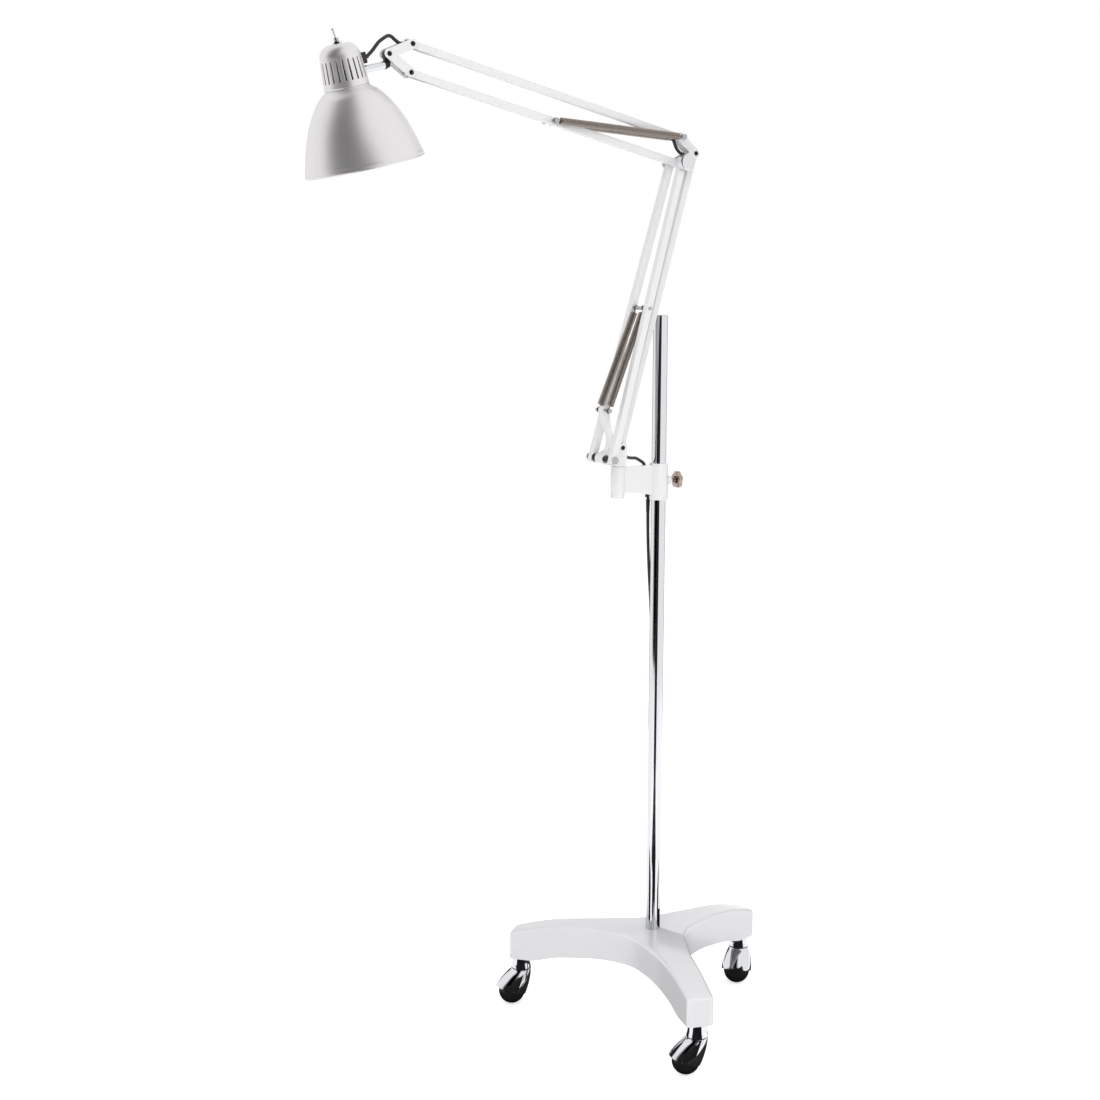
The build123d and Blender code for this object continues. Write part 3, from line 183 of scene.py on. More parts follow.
def turned(profile, origin, axis, segments=96, toward=None, lobes=None):
    """Points and faces of a profile carried round an axis.

    A profile point (r, h) in mm goes to origin + r (cos a first + sin a second) + h axis for each angle a.
    lobes, where given, is a function of the angle that scales r.  A profile that starts and ends on the
    axis closes itself; any other is a loop whose last point joins its first.
    """
    first, second, axis = frame_about(axis, toward)
    profile = np.asarray(profile, dtype=float) * MM
    angle = np.linspace(0, 2 * np.pi, segments, endpoint=False)
    scale = np.ones_like(angle) if lobes is None else lobes(angle)
    ring = np.cos(angle)[:, None] * first + np.sin(angle)[:, None] * second
    radius = profile[:, 0][None, :, None] * scale[:, None, None]
    points = np.asarray(origin) + radius * ring[:, None, :] + profile[:, 1][None, :, None] * axis
    loop = not (abs(profile[0, 0]) < 1e-9 and abs(profile[-1, 0]) < 1e-9)
    return points.reshape(-1, 3), grid_faces(segments, len(profile), True, loop)


def joined(parts):
    """One set of points and faces from several."""
    points = []
    faces = []
    count = 0
    for some_points, some_faces in parts:
        points.append(np.asarray(some_points).reshape(-1, 3))
        faces.extend([[int(i) + count for i in face] for face in some_faces])
        count += len(points[-1])
    return np.concatenate(points), faces


def arc(centre, radius, start, end, steps=10):
    """Profile points on a circle's arc between two angles in degrees."""
    angle = np.radians(np.linspace(start, end, steps))
    return [(centre[0] + radius * math.cos(a), centre[1] + radius * math.sin(a)) for a in angle]


def through(knots, steps=12):
    """Smooth curve through knots: a Catmull-Rom curve, each span a cubic of its four nearest knots."""
    knots = np.asarray(knots, dtype=float)
    padded = np.vstack([2 * knots[0] - knots[1], knots, 2 * knots[-1] - knots[-2]])
    t = np.linspace(0, 1, steps, endpoint=False)[None, :, None]
    a, b, c, d = (padded[i:len(padded) - 3 + i][:, None, :] for i in range(4))
    span = 0.5 * (2 * b + (c - a) * t + (2 * a - 5 * b + 4 * c - d) * t ** 2 + (3 * b - a - 3 * c + d) * t ** 3)
    return np.vstack([span.reshape(-1, knots.shape[1]), knots[-1:]])


def along_path(path, radius, side, sides=12):
    """Points and faces of a round section carried along a path, with flat ends.

    The section at a point lies square to the path's direction; its first spoke is the direction crossed
    with side, which no part of the path may run along.  radius may be one value or one for each point.
    """
    path = np.asarray(path, dtype=float)
    direction = np.gradient(path, axis=0)
    direction /= np.linalg.norm(direction, axis=1)[:, None]
    side = np.broadcast_to(np.asarray(side, dtype=float), path.shape)
    first = np.cross(direction, side)
    first /= np.linalg.norm(first, axis=1)[:, None]
    second = np.cross(direction, first)
    angle = np.linspace(0, 2 * np.pi, sides, endpoint=False)
    radius = np.broadcast_to(np.asarray(radius, dtype=float), (len(path),))[:, None, None]
    spokes = np.cos(angle)[None, :, None] * first[:, None, :] + np.sin(angle)[None, :, None] * second[:, None, :]
    points = (path[:, None, :] + radius * spokes).reshape(-1, 3)
    faces = grid_faces(len(path), sides, False, True).tolist()
    last = (len(path) - 1) * sides
    faces.append(list(range(sides)))
    faces.append([last + i for i in reversed(range(sides))])
    return points, faces


# ---------------------------------------------------------------- finishes
def linear(hex_colour):
    """sRGB hex colour as linear RGBA."""
    value = [int(hex_colour[i:i + 2], 16) / 255 for i in (1, 3, 5)]
    return [v / 12.92 if v <= 0.04045 else ((v + 0.055) / 1.055) ** 2.4 for v in value] + [1.0]


def add_node(tree, kind, settings=None, inputs=None, links=None):
    """Node of a kind, with its settings, its sockets' values, and links from other nodes' outputs."""
    node = tree.nodes.new(kind)
    for key, value in (settings or {}).items():
        setattr(node, key, value)
    for key, value in (inputs or {}).items():
        node.inputs[key].default_value = value
    for key, (other, output) in (links or {}).items():
        tree.links.new(other.outputs[output], node.inputs[key])
    return node


def finish(name, colour, tint=None, grain_mm=1.0, grain_bump=0.0, rough=0.4, rough_spread=0.0, shader=None,
           patch_mm=60.0, patch=0.0, kind="NOISE", stretch=(1.0, 1.0, 1.0)):
    """Principled material whose colour drifts in patches, with a fine grain in its height and roughness.

    patch_mm and grain_mm are the real widths of one patch and one grain.
    """
    material = bpy.data.materials.new(name)
    material.use_nodes = True
    tree = material.node_tree
    tree.nodes.clear()
    output = add_node(tree, "ShaderNodeOutputMaterial")
    base = linear(colour) if isinstance(colour, str) else list(colour) + [1.0]
    bsdf = add_node(tree, "ShaderNodeBsdfPrincipled", inputs={"Base Color": base, "Roughness": rough})
    for key, value in (shader or {}).items():
        bsdf.inputs[key].default_value = value
    tree.links.new(bsdf.outputs["BSDF"], output.inputs["Surface"])
    place = add_node(tree, "ShaderNodeTexCoord")
    mapped = add_node(tree, "ShaderNodeMapping", inputs={"Scale": stretch}, links={"Vector": (place, "Object")})
    if patch:
        drift = add_node(tree, "ShaderNodeTexNoise", inputs={"Scale": 1000.0 / patch_mm, "Detail": 3.0},
                         links={"Vector": (mapped, "Vector")})
        low = [c * (1 - patch) for c in base[:3]] + [1.0]
        high = linear(tint) if tint else [min(1.0, c * (1 + patch)) for c in base[:3]] + [1.0]
        mix = add_node(tree, "ShaderNodeMix", settings={"data_type": "RGBA"},
                       inputs={6: low, 7: high}, links={0: (drift, "Fac")})
        tree.links.new(mix.outputs[2], bsdf.inputs["Base Color"])
    if grain_bump or rough_spread:
        texture = {"NOISE": "ShaderNodeTexNoise", "CELLS": "ShaderNodeTexVoronoi"}[kind]
        grain = add_node(tree, texture, inputs={"Scale": 1000.0 / grain_mm}, links={"Vector": (mapped, "Vector")})
        result = "Fac" if kind == "NOISE" else "Distance"
        if grain_bump:
            bump = add_node(tree, "ShaderNodeBump", inputs={"Strength": grain_bump, "Distance": grain_mm * MM * 0.3},
                            links={"Height": (grain, result)})
            tree.links.new(bump.outputs["Normal"], bsdf.inputs["Normal"])
        if rough_spread:
            spread = add_node(tree, "ShaderNodeMapRange",
                              inputs={"To Min": max(0.0, rough - rough_spread), "To Max": rough + rough_spread},
                              links={"Value": (grain, result)})
            tree.links.new(spread.outputs["Result"], bsdf.inputs["Roughness"])
    return material


def make_finishes(colours):
    """All finishes of the lamp by name."""
    made = {}
    # baked gloss enamel on steel and aluminium: smooth and hard, with a faint orange peel under its gloss
    made["arm_enamel"] = finish("baked_gloss_enamel", colours.enamel, grain_mm=2.2, grain_bump=0.05, rough=0.22,
                                rough_spread=0.04, patch=0.012, shader={"Coat Weight": 0.35, "Coat Roughness": 0.08})
    # the same enamel on sand-cast iron: the casting's slow waves show through it
    made["base_enamel"] = finish("enamelled_cast_iron", colours.base, grain_mm=6.0, grain_bump=0.10, rough=0.24,
                                 rough_spread=0.05, patch=0.02, patch_mm=45.0,
                                 shader={"Coat Weight": 0.3, "Coat Roughness": 0.1})
    # satin enamel with metal pigment on spun sheet: it mirrors its surroundings broadly and softly
    made["shade_enamel"] = finish("satin_enamel_on_spun_sheet", colours.shade, grain_mm=1.6, grain_bump=0.04,
                                  rough=0.40, rough_spread=0.04, patch=0.015,
                                  shader={"Metallic": 0.86})
    # chrome plating on polished steel: mirror bright with fine wiping marks
    made["chrome"] = finish("polished_chrome_plating", "#d3d4d7", grain_mm=8.0, rough=0.07, rough_spread=0.03,
                            stretch=(1.0, 1.0, 0.15), shader={"Metallic": 1.0})
    # bright plated spring wire, drawn through a die: a little duller than the plated parts
    made["spring_steel"] = finish("plated_spring_wire", "#a0968f", grain_mm=1.5, rough=0.16, rough_spread=0.06,
                                  shader={"Metallic": 1.0})
    # nickel plating over brass, tarnished brown in the hand's reach
    made["tarnished_nickel"] = finish("tarnished_nickel_plating", "#a4938a", grain_mm=3.0, rough=0.16,
                                      rough_spread=0.08, patch=0.12, patch_mm=6.0, shader={"Metallic": 1.0})
    # zinc plated turned steel: grey and slightly mottled
    made["bright_steel"] = finish("zinc_plated_steel", "#a9abae", grain_mm=1.2, grain_bump=0.05, rough=0.32,
                                  rough_spread=0.08, patch=0.06, patch_mm=8.0, shader={"Metallic": 1.0})
    # black oxide steel: dark with an oily sheen
    made["dark_steel"] = finish("black_oxide_steel", "#2a2a2d", grain_mm=0.8, grain_bump=0.05, rough=0.34,
                                rough_spread=0.08, patch=0.1, patch_mm=6.0, shader={"Metallic": 0.85})
    # hard rubber ball: turned, slightly scuffed
    made["ball_rubber"] = finish("hard_black_rubber", "#18181a", grain_mm=1.5, grain_bump=0.12, rough=0.42,
                                 rough_spread=0.14, patch=0.25, patch_mm=14.0)
    # moulded plastic with a fine spark-eroded grain
    made["black_plastic"] = finish("moulded_black_plastic", "#151517", grain_mm=0.6, grain_bump=0.15, rough=0.45,
                                   rough_spread=0.06, kind="CELLS")
    # soft vinyl sheath drawn over the cores: smooth, faintly wavy along its length
    made["cord_sheath"] = finish("soft_vinyl_sheath", colours.cord, grain_mm=5.0, grain_bump=0.08, rough=0.38,
                                 rough_spread=0.07, patch=0.12, patch_mm=30.0)
    # opal glass: white inside coating under clear glass
    made["bulb_glass"] = finish("opal_glass", "#f1f0ec", grain_mm=20.0, rough=0.12, rough_spread=0.02,
                                shader={"Coat Weight": 0.6, "Coat Roughness": 0.03, "Subsurface Weight": 0.2,
                                        "Subsurface Radius": (0.004, 0.004, 0.004)})
    # rolled brass: warm and lightly tarnished
    made["brass"] = finish("rolled_brass", "#c9a75e", grain_mm=1.0, rough=0.25, rough_spread=0.08, patch=0.08,
                           patch_mm=10.0, shader={"Metallic": 1.0})
    return made


FINISH = {}


# ---------------------------------------------------------------- operators
class LampOperator:
    """Shared settings of the operators that make pieces."""
    bl_options = {"REGISTER", "UNDO"}

    @property
    def sizes(self):
        return bpy.context.scene.lamp_sizes


class LAMP_OT_finishes(LampOperator, bpy.types.Operator):
    """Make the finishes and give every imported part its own"""
    bl_idname = "lamp.finishes"
    bl_label = "Finishes"

    def execute(self, context):
        FINISH.update(make_finishes(context.scene.lamp_colours))
        for entry in record["subparts"]:
            part = nodes[entry["node"]]
            part.data.materials.clear()
            part.data.materials.append(FINISH[entry["material_slot"]])
        return {"FINISHED"}


class LAMP_OT_column(LampOperator, bpy.types.Operator):
    """Plated tube with a moulded plug in its top"""
    bl_idname = "lamp.column"
    bl_label = "Column"

    def execute(self, context):
        low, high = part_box("column_tube")
        outer = (high[0] - low[0]) / 2 / MM
        inner = outer - 1.5
        top = high[2] / MM
        bottom = low[2] / MM
        profile = [(inner, bottom), (outer, bottom), (outer, top - 0.5)] + arc((outer - 0.5, top - 0.5), 0.5, 0, 90, 4)
        profile += [(inner, top)]
        tube = add_mesh("column_plated_tube", *turned(profile, (0, 0, 0), UP, 128), "stand", "chrome")
        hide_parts("column_tube")
        plug = [(0, top - 12), (inner, top - 12), (inner, top - 0.8), (inner - 0.8, top), (0, top)]
        cap = add_mesh("column_moulded_plug", *turned(plug, (0, 0, 0), UP, 96), "stand", "black_plastic")
        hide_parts("column_plug")
        return {"FINISHED"}


class LAMP_OT_casters(LampOperator, bpy.types.Operator):
    """Hooded ball casters: hood, ball and collar"""
    bl_idname = "lamp.casters"
    bl_label = "Casters"

    def execute(self, context):
        low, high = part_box("caster_collars")
        bottom, top = low[2] / MM, high[2] / MM
        collars = []
        for name in CASTERS:
            place = pivot(f"caster_{name}_swivel") * (1, 1, 0)
            collar = [(5.5, bottom), (16.6, bottom)] + arc((17.0, bottom + 1.8), 1.8, -90, 20, 6)
            collar += [tuple(p) for p in through([(18.2, bottom + 4.5), (16.9, bottom + 10.5), (16.1, top - 5.5),
                                                  (15.9, top - 1.2)], 6)]
            collar += [(15.2, top - 0.2), (14.6, top), (5.5, top)]
            collars.append(turned(collar, place, UP, 96))
            self.hood(name, place)
            self.ball(name)
        ring = add_mesh("caster_plated_collars", *joined(collars), "stand", "chrome")
        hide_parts("caster_collars")
        return {"FINISHED"}

    def hood(self, name, place):
        """Plated hood, thinned inwards from rings that grow from the neck round the stem to the mouth.

        Each ring is a circle whose centre, radius and lean follow smooth curves: the neck's centre is on the
        stem and it lies level, the mouth's is beside the ball's centre and lies square to the ball's axle.
        """
        centre = pivot(f"ball_{name}_roll")
        axis = np.array(joint_of[f"ball_{name}_roll"]["axis"], dtype=float)
        trail = (centre - place) * (1, 1, 0)
        trail /= np.linalg.norm(trail)
        # along the trail, height, radius, lean of each ring
        rings = through(self.RINGS, 6)
        segments, wall, inner_top = 96, 2.2, 56
        angle = np.linspace(0, 2 * np.pi, segments, endpoint=False)
        across = np.cross(UP, trail)

        def shell(rows, inset):
            """Circles of the rows, each smaller by the inset."""
            lean = np.radians(rows[:, 3])[:, None]
            out = np.cos(lean) * trail + np.sin(lean) * UP
            middle_points = place + rows[:, :1] * MM * trail + rows[:, 1:2] * MM * UP
            radius = (rows[:, 2] - inset)[:, None, None] * MM
            round_points = np.cos(angle)[None, :, None] * out[:, None, :] + np.sin(angle)[None, :, None] * across
            return middle_points[:, None, :] + radius * round_points

        outer = shell(rings, 0.0)
        inner = shell(rings[rings[:, 1] < inner_top], wall)
        rows = np.concatenate([outer, inner[::-1]])
        points = rows.reshape(-1, 3)
        faces = grid_faces(len(rows), segments, False, True).tolist()
        faces.append(list(range(segments)))
        faces.append([(len(rows) - 1) * segments + i for i in range(segments)])
        post = turned([(0, -12), (3.5, -12), (3.5, 31), (0, 31)], centre, axis, 32)
        swivel = turned([(0, 48.5), (9.5, 48.5), (9.5, 58), (0, 58)], place, UP, 48)
        rivet_out = -0.93 * across - 0.37 * trail
        rivet_place = centre + rivet_out * 27.0 * MM + UP * 6.0 * MM
        rivet = turned([(0, -1.0), (2.2, -1.0), (2.2, 0.4), (1.5, 1.1), (0, 1.4)], rivet_place, rivet_out, 24)
        piece = add_mesh(f"caster_plated_hood_{name}", *joined([(points, faces), post, swivel, rivet]),
                         f"caster_{name}", "chrome")
        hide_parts(f"caster_hood_{name}")

    RINGS = ((0.0, 64.6, 15.0, 0.0), (0.3, 64.4, 17.6, 0.0), (0.9, 62.4, 18.7, 0.5), (5.5, 55.0, 22.2, 5.0),
             (11.0, 45.5, 25.2, 10.0), (16.5, 36.0, 27.2, 14.5), (20.5, 28.6, 27.9, 17.4), (22.1, 25.6, 27.7, 18.0))

    def ball(self, name):
        """Sphere about its axle with a moulding line round its middle and a bore for the axle."""
        centre = pivot(f"ball_{name}_roll")
        axis = np.array(joint_of[f"ball_{name}_roll"]["axis"], dtype=float)
        latitude = np.linspace(-90, 81, 70)
        radius = 23.85 + 0.1 * np.exp(-(latitude / 1.6) ** 2)
        profile = np.stack([radius * np.cos(np.radians(latitude)), radius * np.sin(np.radians(latitude))], axis=1)
        profile[0, 0] = 0.0
        bore = [(3.7, profile[-1, 1]), (3.7, -12.4), (0.0, -12.4)]
        piece = add_mesh(f"caster_rubber_ball_{name}", *turned(profile.tolist() + bore, centre, axis, 96),
                         f"ball_{name}", "ball_rubber")
        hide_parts(f"caster_ball_{name}")


class LAMP_OT_shade(LampOperator, bpy.types.Operator):
    """Spun bell with a rolled rim, and the vented cap over the lamp holder"""
    bl_idname = "lamp.shade"
    bl_label = "Shade"

    def execute(self, context):
        self.bell()
        self.cap()
        return {"FINISHED"}

    def bell(self):
        """Profile through the bell's outline, thickened inwards, its rim rolled outwards round a bead."""
        knots = [(92.0, 6.5), (90.6, 13), (84.0, 37), (75.6, 61), (64.9, 83), (52.3, 102.0), (44.9, 110.2),
                 (39.4, 114.6), (36.4, 116.7), (35.1, 118.0), (34.82, 119.0)]
        outer = through(knots, 8)
        direction = np.gradient(outer, axis=0)
        direction /= np.linalg.norm(direction, axis=1)[:, None]
        inward = np.stack([-direction[:, 1], direction[:, 0]], axis=1)
        inner = (outer + 1.0 * inward)[:-18]
        bead = arc((91.2, 2.3), 2.1, 60, -240, 16)
        profile = [tuple(p) for p in outer] + [(20.2, 119.0), (20.2, 117.6)]
        profile += [tuple(p) for p in inner[::-1]] + bead[::-1]
        piece = add_mesh("spun_bell", *turned(profile, RIM_CENTRE, SHADE_UP, 192, ROD_AXIS), "head",
                         "shade_enamel", sharp=50)
        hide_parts("shade_bell")

    def cap(self):
        """Cap as a grid of angle by profile with the vents' cells left out, thickened inwards."""
        vents, lower, upper, dome = 22, 119.0, 165.0, 20.0
        bottom_radius, top_radius = 34.8, 31.4
        half = math.asin(1.15 / 33.0)
        steps = 8
        pitch = 2 * math.pi / vents
        inside = np.linspace(-half, half, 3)
        outside = np.linspace(half, pitch - half, steps + 1)[1:-1]
        angle = np.concatenate([k * pitch + np.concatenate([inside, outside]) for k in range(vents)])
        heights = np.concatenate([[lower, 122.0, 126.0, 129.2, 130.0], np.linspace(135, 157, 5),
                                  [161.4, 162.2, 163.6, upper]])
        share = (heights - lower) / (upper - lower)
        wall = np.stack([bottom_radius + (top_radius - bottom_radius) * share, heights], axis=1)
        crown = np.array(arc((top_radius - dome, upper), dome, 0, 90, 14))[1:]
        profile = np.vstack([wall, crown, [[6.0, upper + dome]]])
        ring = np.cos(angle)[:, None] * ROD_AXIS + np.sin(angle)[:, None] * NEAR
        points = RIM_CENTRE + profile[None, :, 0, None] * MM * ring[:, None, :]
        points = points + profile[None, :, 1, None] * MM * SHADE_UP
        rows, columns = len(angle), len(profile)
        faces = grid_faces(rows, columns, True, False)
        row = faces[:, 0] // columns
        column = faces[:, 0] % columns
        slot_row = (row % (steps + 2)) < 2
        vent = (row // (steps + 2))
        open_vent = (vent >= 2) & (vent < vents - 1)
        slot_column = (heights[np.clip(column, 0, len(heights) - 1)] > 129.5) & (column < len(heights) - 1)
        slot_column &= heights[np.clip(column, 0, len(heights) - 1)] < 161
        faces = faces[~(slot_row & slot_column & open_vent)]
        piece = add_mesh("vented_cap", points.reshape(-1, 3), faces, "head", "shade_enamel", sharp=50)
        wall = piece.modifiers.new("sheet", "SOLIDIFY")
        wall.thickness = 1.1 * MM
        wall.offset = -1.0
        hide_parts("socket_cap")


class LAMP_OT_springs(LampOperator, bpy.types.Operator):
    """Close-wound tension springs with hooked ends"""
    bl_idname = "lamp.springs"
    bl_label = "Springs"

    def execute(self, context):
        mast = middle("anchor_rod")
        rod = middle("spring_rod")
        bolt = middle("spring_bolt")
        self.pair("lower_tension_springs", mast, rod, 14.5, 11.2, 3.0, "foot", "lower_arm", "lower_springs",
                  (0.0, 0.58))
        self.pair("upper_tension_springs", bolt, ELBOW_TOP, 15.5, 15.5, 3.0, "upper_arm", "elbow", "upper_springs",
                  (0.78, 1.0))
        return {"FINISHED"}

    def pair(self, name, start, end, start_side, end_side, pin, body_start, body_end, node, bend):
        """Two springs, one each side of the arm's middle plane.

        bend, two shares of their length, is not used: each spring runs straight from end to end.
        """
        parts = []
        for side in (-1, 1):
            a = start + side * start_side * MM * NEAR
            b = end + side * end_side * MM * NEAR
            parts.append(self.spring(a, b, pin))
        piece = add_mesh(name, *joined(parts), None, "spring_steel", sharp=80)
        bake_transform(piece)
        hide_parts(node)

    def spring(self, start, end, pin):
        """Wire along a hook, a helix and a hook.

        The helix is centre + r (cos a first + sin a second) with a growing evenly along its axis; each hook
        is three quarters of a circle round its pin, in the plane that holds the axis and is square to the pin.
        """
        wire = self.sizes.wire
        outer_radius, hook_reach, pitch, steps_per_turn = 6 * MM, 4.2 * MM, wire * 1.06, 14
        radius = outer_radius - wire / 2
        axis = (end - start) / np.linalg.norm(end - start)
        length = np.linalg.norm(end - start)
        across = np.cross(NEAR, axis)
        across /= np.linalg.norm(across)
        depth = np.cross(axis, across)
        eye = pin * MM + wire / 2 + 0.1 * MM
        body_start = eye + hook_reach
        body_end = length - eye - hook_reach
        turns = round((body_end - body_start) / pitch)
        a = np.linspace(0, 2 * np.pi * turns, turns * steps_per_turn + 1)
        travel = np.linspace(body_start, body_end, len(a))
        spread = np.minimum(1.0, np.minimum(a, a[::-1]) / (0.8 * np.pi)) * 0.9 + 0.1
        helix = start + travel[:, None] * axis + (radius * spread * np.cos(a))[:, None] * across
        helix = helix + (radius * spread * np.sin(a))[:, None] * depth
        sweep = np.radians(np.linspace(250, 0, 22))
        first = start + eye * (np.cos(sweep)[:, None] * axis + np.sin(sweep)[:, None] * across)
        sweep = np.radians(np.linspace(180, -70, 22))
        last = end + eye * (np.cos(sweep)[:, None] * axis + np.sin(sweep)[:, None] * across)
        path = np.vstack([first, helix, last])
        return along_path(path, wire / 2, depth * 0.3 + axis * 0.7 + across * 0.21, 7)


class LAMP_OT_knobs(LampOperator, bpy.types.Operator):
    """Thumb screw on the bracket and knob on the elbow"""
    bl_idname = "lamp.knobs"
    bl_label = "Knobs"

    def execute(self, context):
        axis = np.array(joint_of["clamp_knob_turn"]["axis"], dtype=float)
        origin = pivot("clamp_knob_turn")
        dip = [(0, 40.2), (4, 40.2), (5, 39.4), (9, 39.6)]
        knob = dip + arc((12.4, 38.2), 2.6, 90, 0, 6) + arc((13.2, 33.6), 1.8, 0, -90, 5)
        knob += [(7, 31.8), (7, 28), (4, 28), (4, 14.3), (0, 14.3)]
        lobes = lambda a: 1.0 - 0.085 * (1 - np.cos(5 * a)) ** 2 / 4 * 2
        screw = turned(knob, origin, axis, 120, UP, lobes)
        piece = add_mesh("thumb_screw", *screw, "clamp_knob", "chrome", finish_name="tarnished_nickel")
        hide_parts("clamp_screw")

        inner = ELBOW * (1, 0, 1) + np.array([0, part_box("elbow_knob")[1][1], 0])
        rim = [(4.1, 0), (12.6, 0), (13.6, 0.8), (13.6, 8.0)] + arc((10.2, 8.2), 3.4, 0, 90, 8)
        rim += [(6, 11.9), (0, 12), (0, 8.2), (4.1, 8.2)]
        knurl = lambda a: 1.0 + 0.012 * np.cos(36 * a)
        knob = turned(rim, inner, NEAR, 216, UP, knurl)
        piece = add_mesh("elbow_plated_knob", *knob, "elbow_knob", "chrome")
        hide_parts("elbow_knob")
        return {"FINISHED"}


class LAMP_OT_fasteners(LampOperator, bpy.types.Operator):
    """Domed screws of the head's bracket and studs of the link's two ends"""
    bl_idname = "lamp.fasteners"
    bl_label = "Screws"

    # radius, height over the plate: a rounded head with a round recess
    HEAD = ((3.8, 0.0), (3.9, 0.5), (3.6, 1.05), (2.95, 1.45), (2.0, 1.72), (1.35, 1.76), (1.15, 1.6), (1.1, 0.8),
            (0.0, 0.8))

    def execute(self, context):
        bracket = [self.screw(HEAD_LOW, 2.5, 9.5), self.screw(HEAD_TILT, 3.0, 9.5)] + self.studs(HEAD_TOP, 9.5)
        self.make("bracket_domed_screws", bracket, "head_bracket", "bracket_screws")
        self.make("elbow_domed_studs", self.studs(LINK_ELBOW, 9.5), "elbow", "link_elbow_studs")
        self.make("foot_domed_studs", self.studs(LINK_FOOT, 10.0), "foot", "link_foot_studs")
        return {"FINISHED"}

    def screw(self, place, radius, face):
        """Pin across both plates with a head on each."""
        upper = [(radius, face)] + [(r, face + h) for r, h in self.HEAD]
        lower = [(r, -h) for r, h in reversed(upper)]
        return turned(lower + upper, place, NEAR, 48)

    def studs(self, place, face):
        """Two short studs that end inside the bar's walls."""
        profile = [(0, 4.4), (2.45, 4.4), (2.45, face)] + [(r, face + h) for r, h in self.HEAD]
        return [turned(profile, place, side * NEAR, 48) for side in (-1, 1)]

    def make(self, name, parts, body, node):
        """Piece in place of a packed one."""
        piece = add_mesh(name, *joined(parts), body, "dark_steel")
        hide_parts(node)


class LAMP_OT_lamp(LampOperator, bpy.types.Operator):
    """Bulb, its screw cap, the holder and the toggle switch"""
    bl_idname = "lamp.lamp"
    bl_label = "Bulb, holder and switch"

    def execute(self, context):
        globe = 46.0
        neck = through([(30, globe), (28.2, globe + 10.5), (22, globe + 20), (15.0, globe + 29.5), (13, globe + 37)], 6)
        glass = arc((0, globe), 30, -90, 0, 24)[:-1] + [tuple(p) for p in neck] + [(13, 100), (0, 100)]
        glass[0] = (0.0, globe - 30)
        piece = add_mesh("opal_bulb", *turned(glass, RIM_CENTRE, SHADE_UP, 96), "head", "bulb_glass")
        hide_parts("bulb_glass")
        height = np.linspace(101, 122, 60)
        thread = 12.6 + 0.4 * np.sin((height - 101) / 21 * 2 * np.pi * 6)
        cap = [(0, 100.0), (12.9, 100.0)] + list(zip(thread, height)) + [(11.5, 124), (4.5, 127), (4, 128), (0, 128)]
        piece = add_mesh("bulb_screw_cap", *turned(cap, RIM_CENTRE, SHADE_UP, 72), "head", "brass")
        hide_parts("bulb_base")
        skirt = [(14, 129), (14, 86), (15, 84.2), (18, 84.2), (19, 85.2)]
        for level in (90, 93, 96):
            skirt += [(19, level), (18.4, level + 0.5), (18.4, level + 1.5), (19, level + 2)]
        skirt += [(19, 113.6), (23, 113.6), (23, 117.8), (19, 117.8), (19, 127), (16, 146), (0, 146), (0, 129)]
        piece = add_mesh("lamp_holder_moulded", *turned(skirt, RIM_CENTRE, SHADE_UP, 96), "head", "black_plastic")
        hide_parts("lamp_holder")
        self.switch()
        return {"FINISHED"}

    def switch(self):
        """Threaded bush and hexagon nut over a hidden body, and a tapered lever with a rounded end."""
        level = np.linspace(188.2, 193.2, 28)
        thread = 4.3 + 0.18 * np.sin((level - 188) * 2 * np.pi / 1.0)
        bush = [(0, 164), (7, 164), (7, 183.6), (5.8, 183.8), (5.8, 185.1), (4.4, 185.1), (4.4, 188)]
        bush += list(zip(thread, level)) + [(4.3, 194), (3.1, 194), (2.7, 189.2), (0, 189.2)]
        body = turned(bush, RIM_CENTRE, SHADE_UP, 64)
        flats = lambda a: 1.0 / np.cos((a + np.pi / 6) % (np.pi / 3) - np.pi / 6)
        nut = turned([(4.5, 185.05), (6.3, 185.05), (6.55, 185.4), (6.55, 187.6), (6.2, 188.0), (4.5, 188.0)],
                     RIM_CENTRE, SHADE_UP, 96, ROD_AXIS, flats)
        piece = add_mesh("toggle_bush_and_nut", *joined([body, nut]), "head", "chrome", sharp=25)
        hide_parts("toggle_switch")
        origin = pivot("toggle_flip")
        tilt = math.radians(9)
        axis = math.cos(tilt) * SHADE_UP - math.sin(tilt) * ROD_AXIS
        lever = arc((0, 0), 1.9, -90, 30, 6) + [(1.5, 2.4), (2.0, 12)] + arc((0, 15), 2.4, -30, 90, 8)
        lever[0] = (0.0, -1.9)
        lever[-1] = (0.0, 17.4)
        piece = add_mesh("toggle_lever_plated", *turned(lever, origin, axis, 40), "toggle", "chrome")
        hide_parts("toggle_lever")


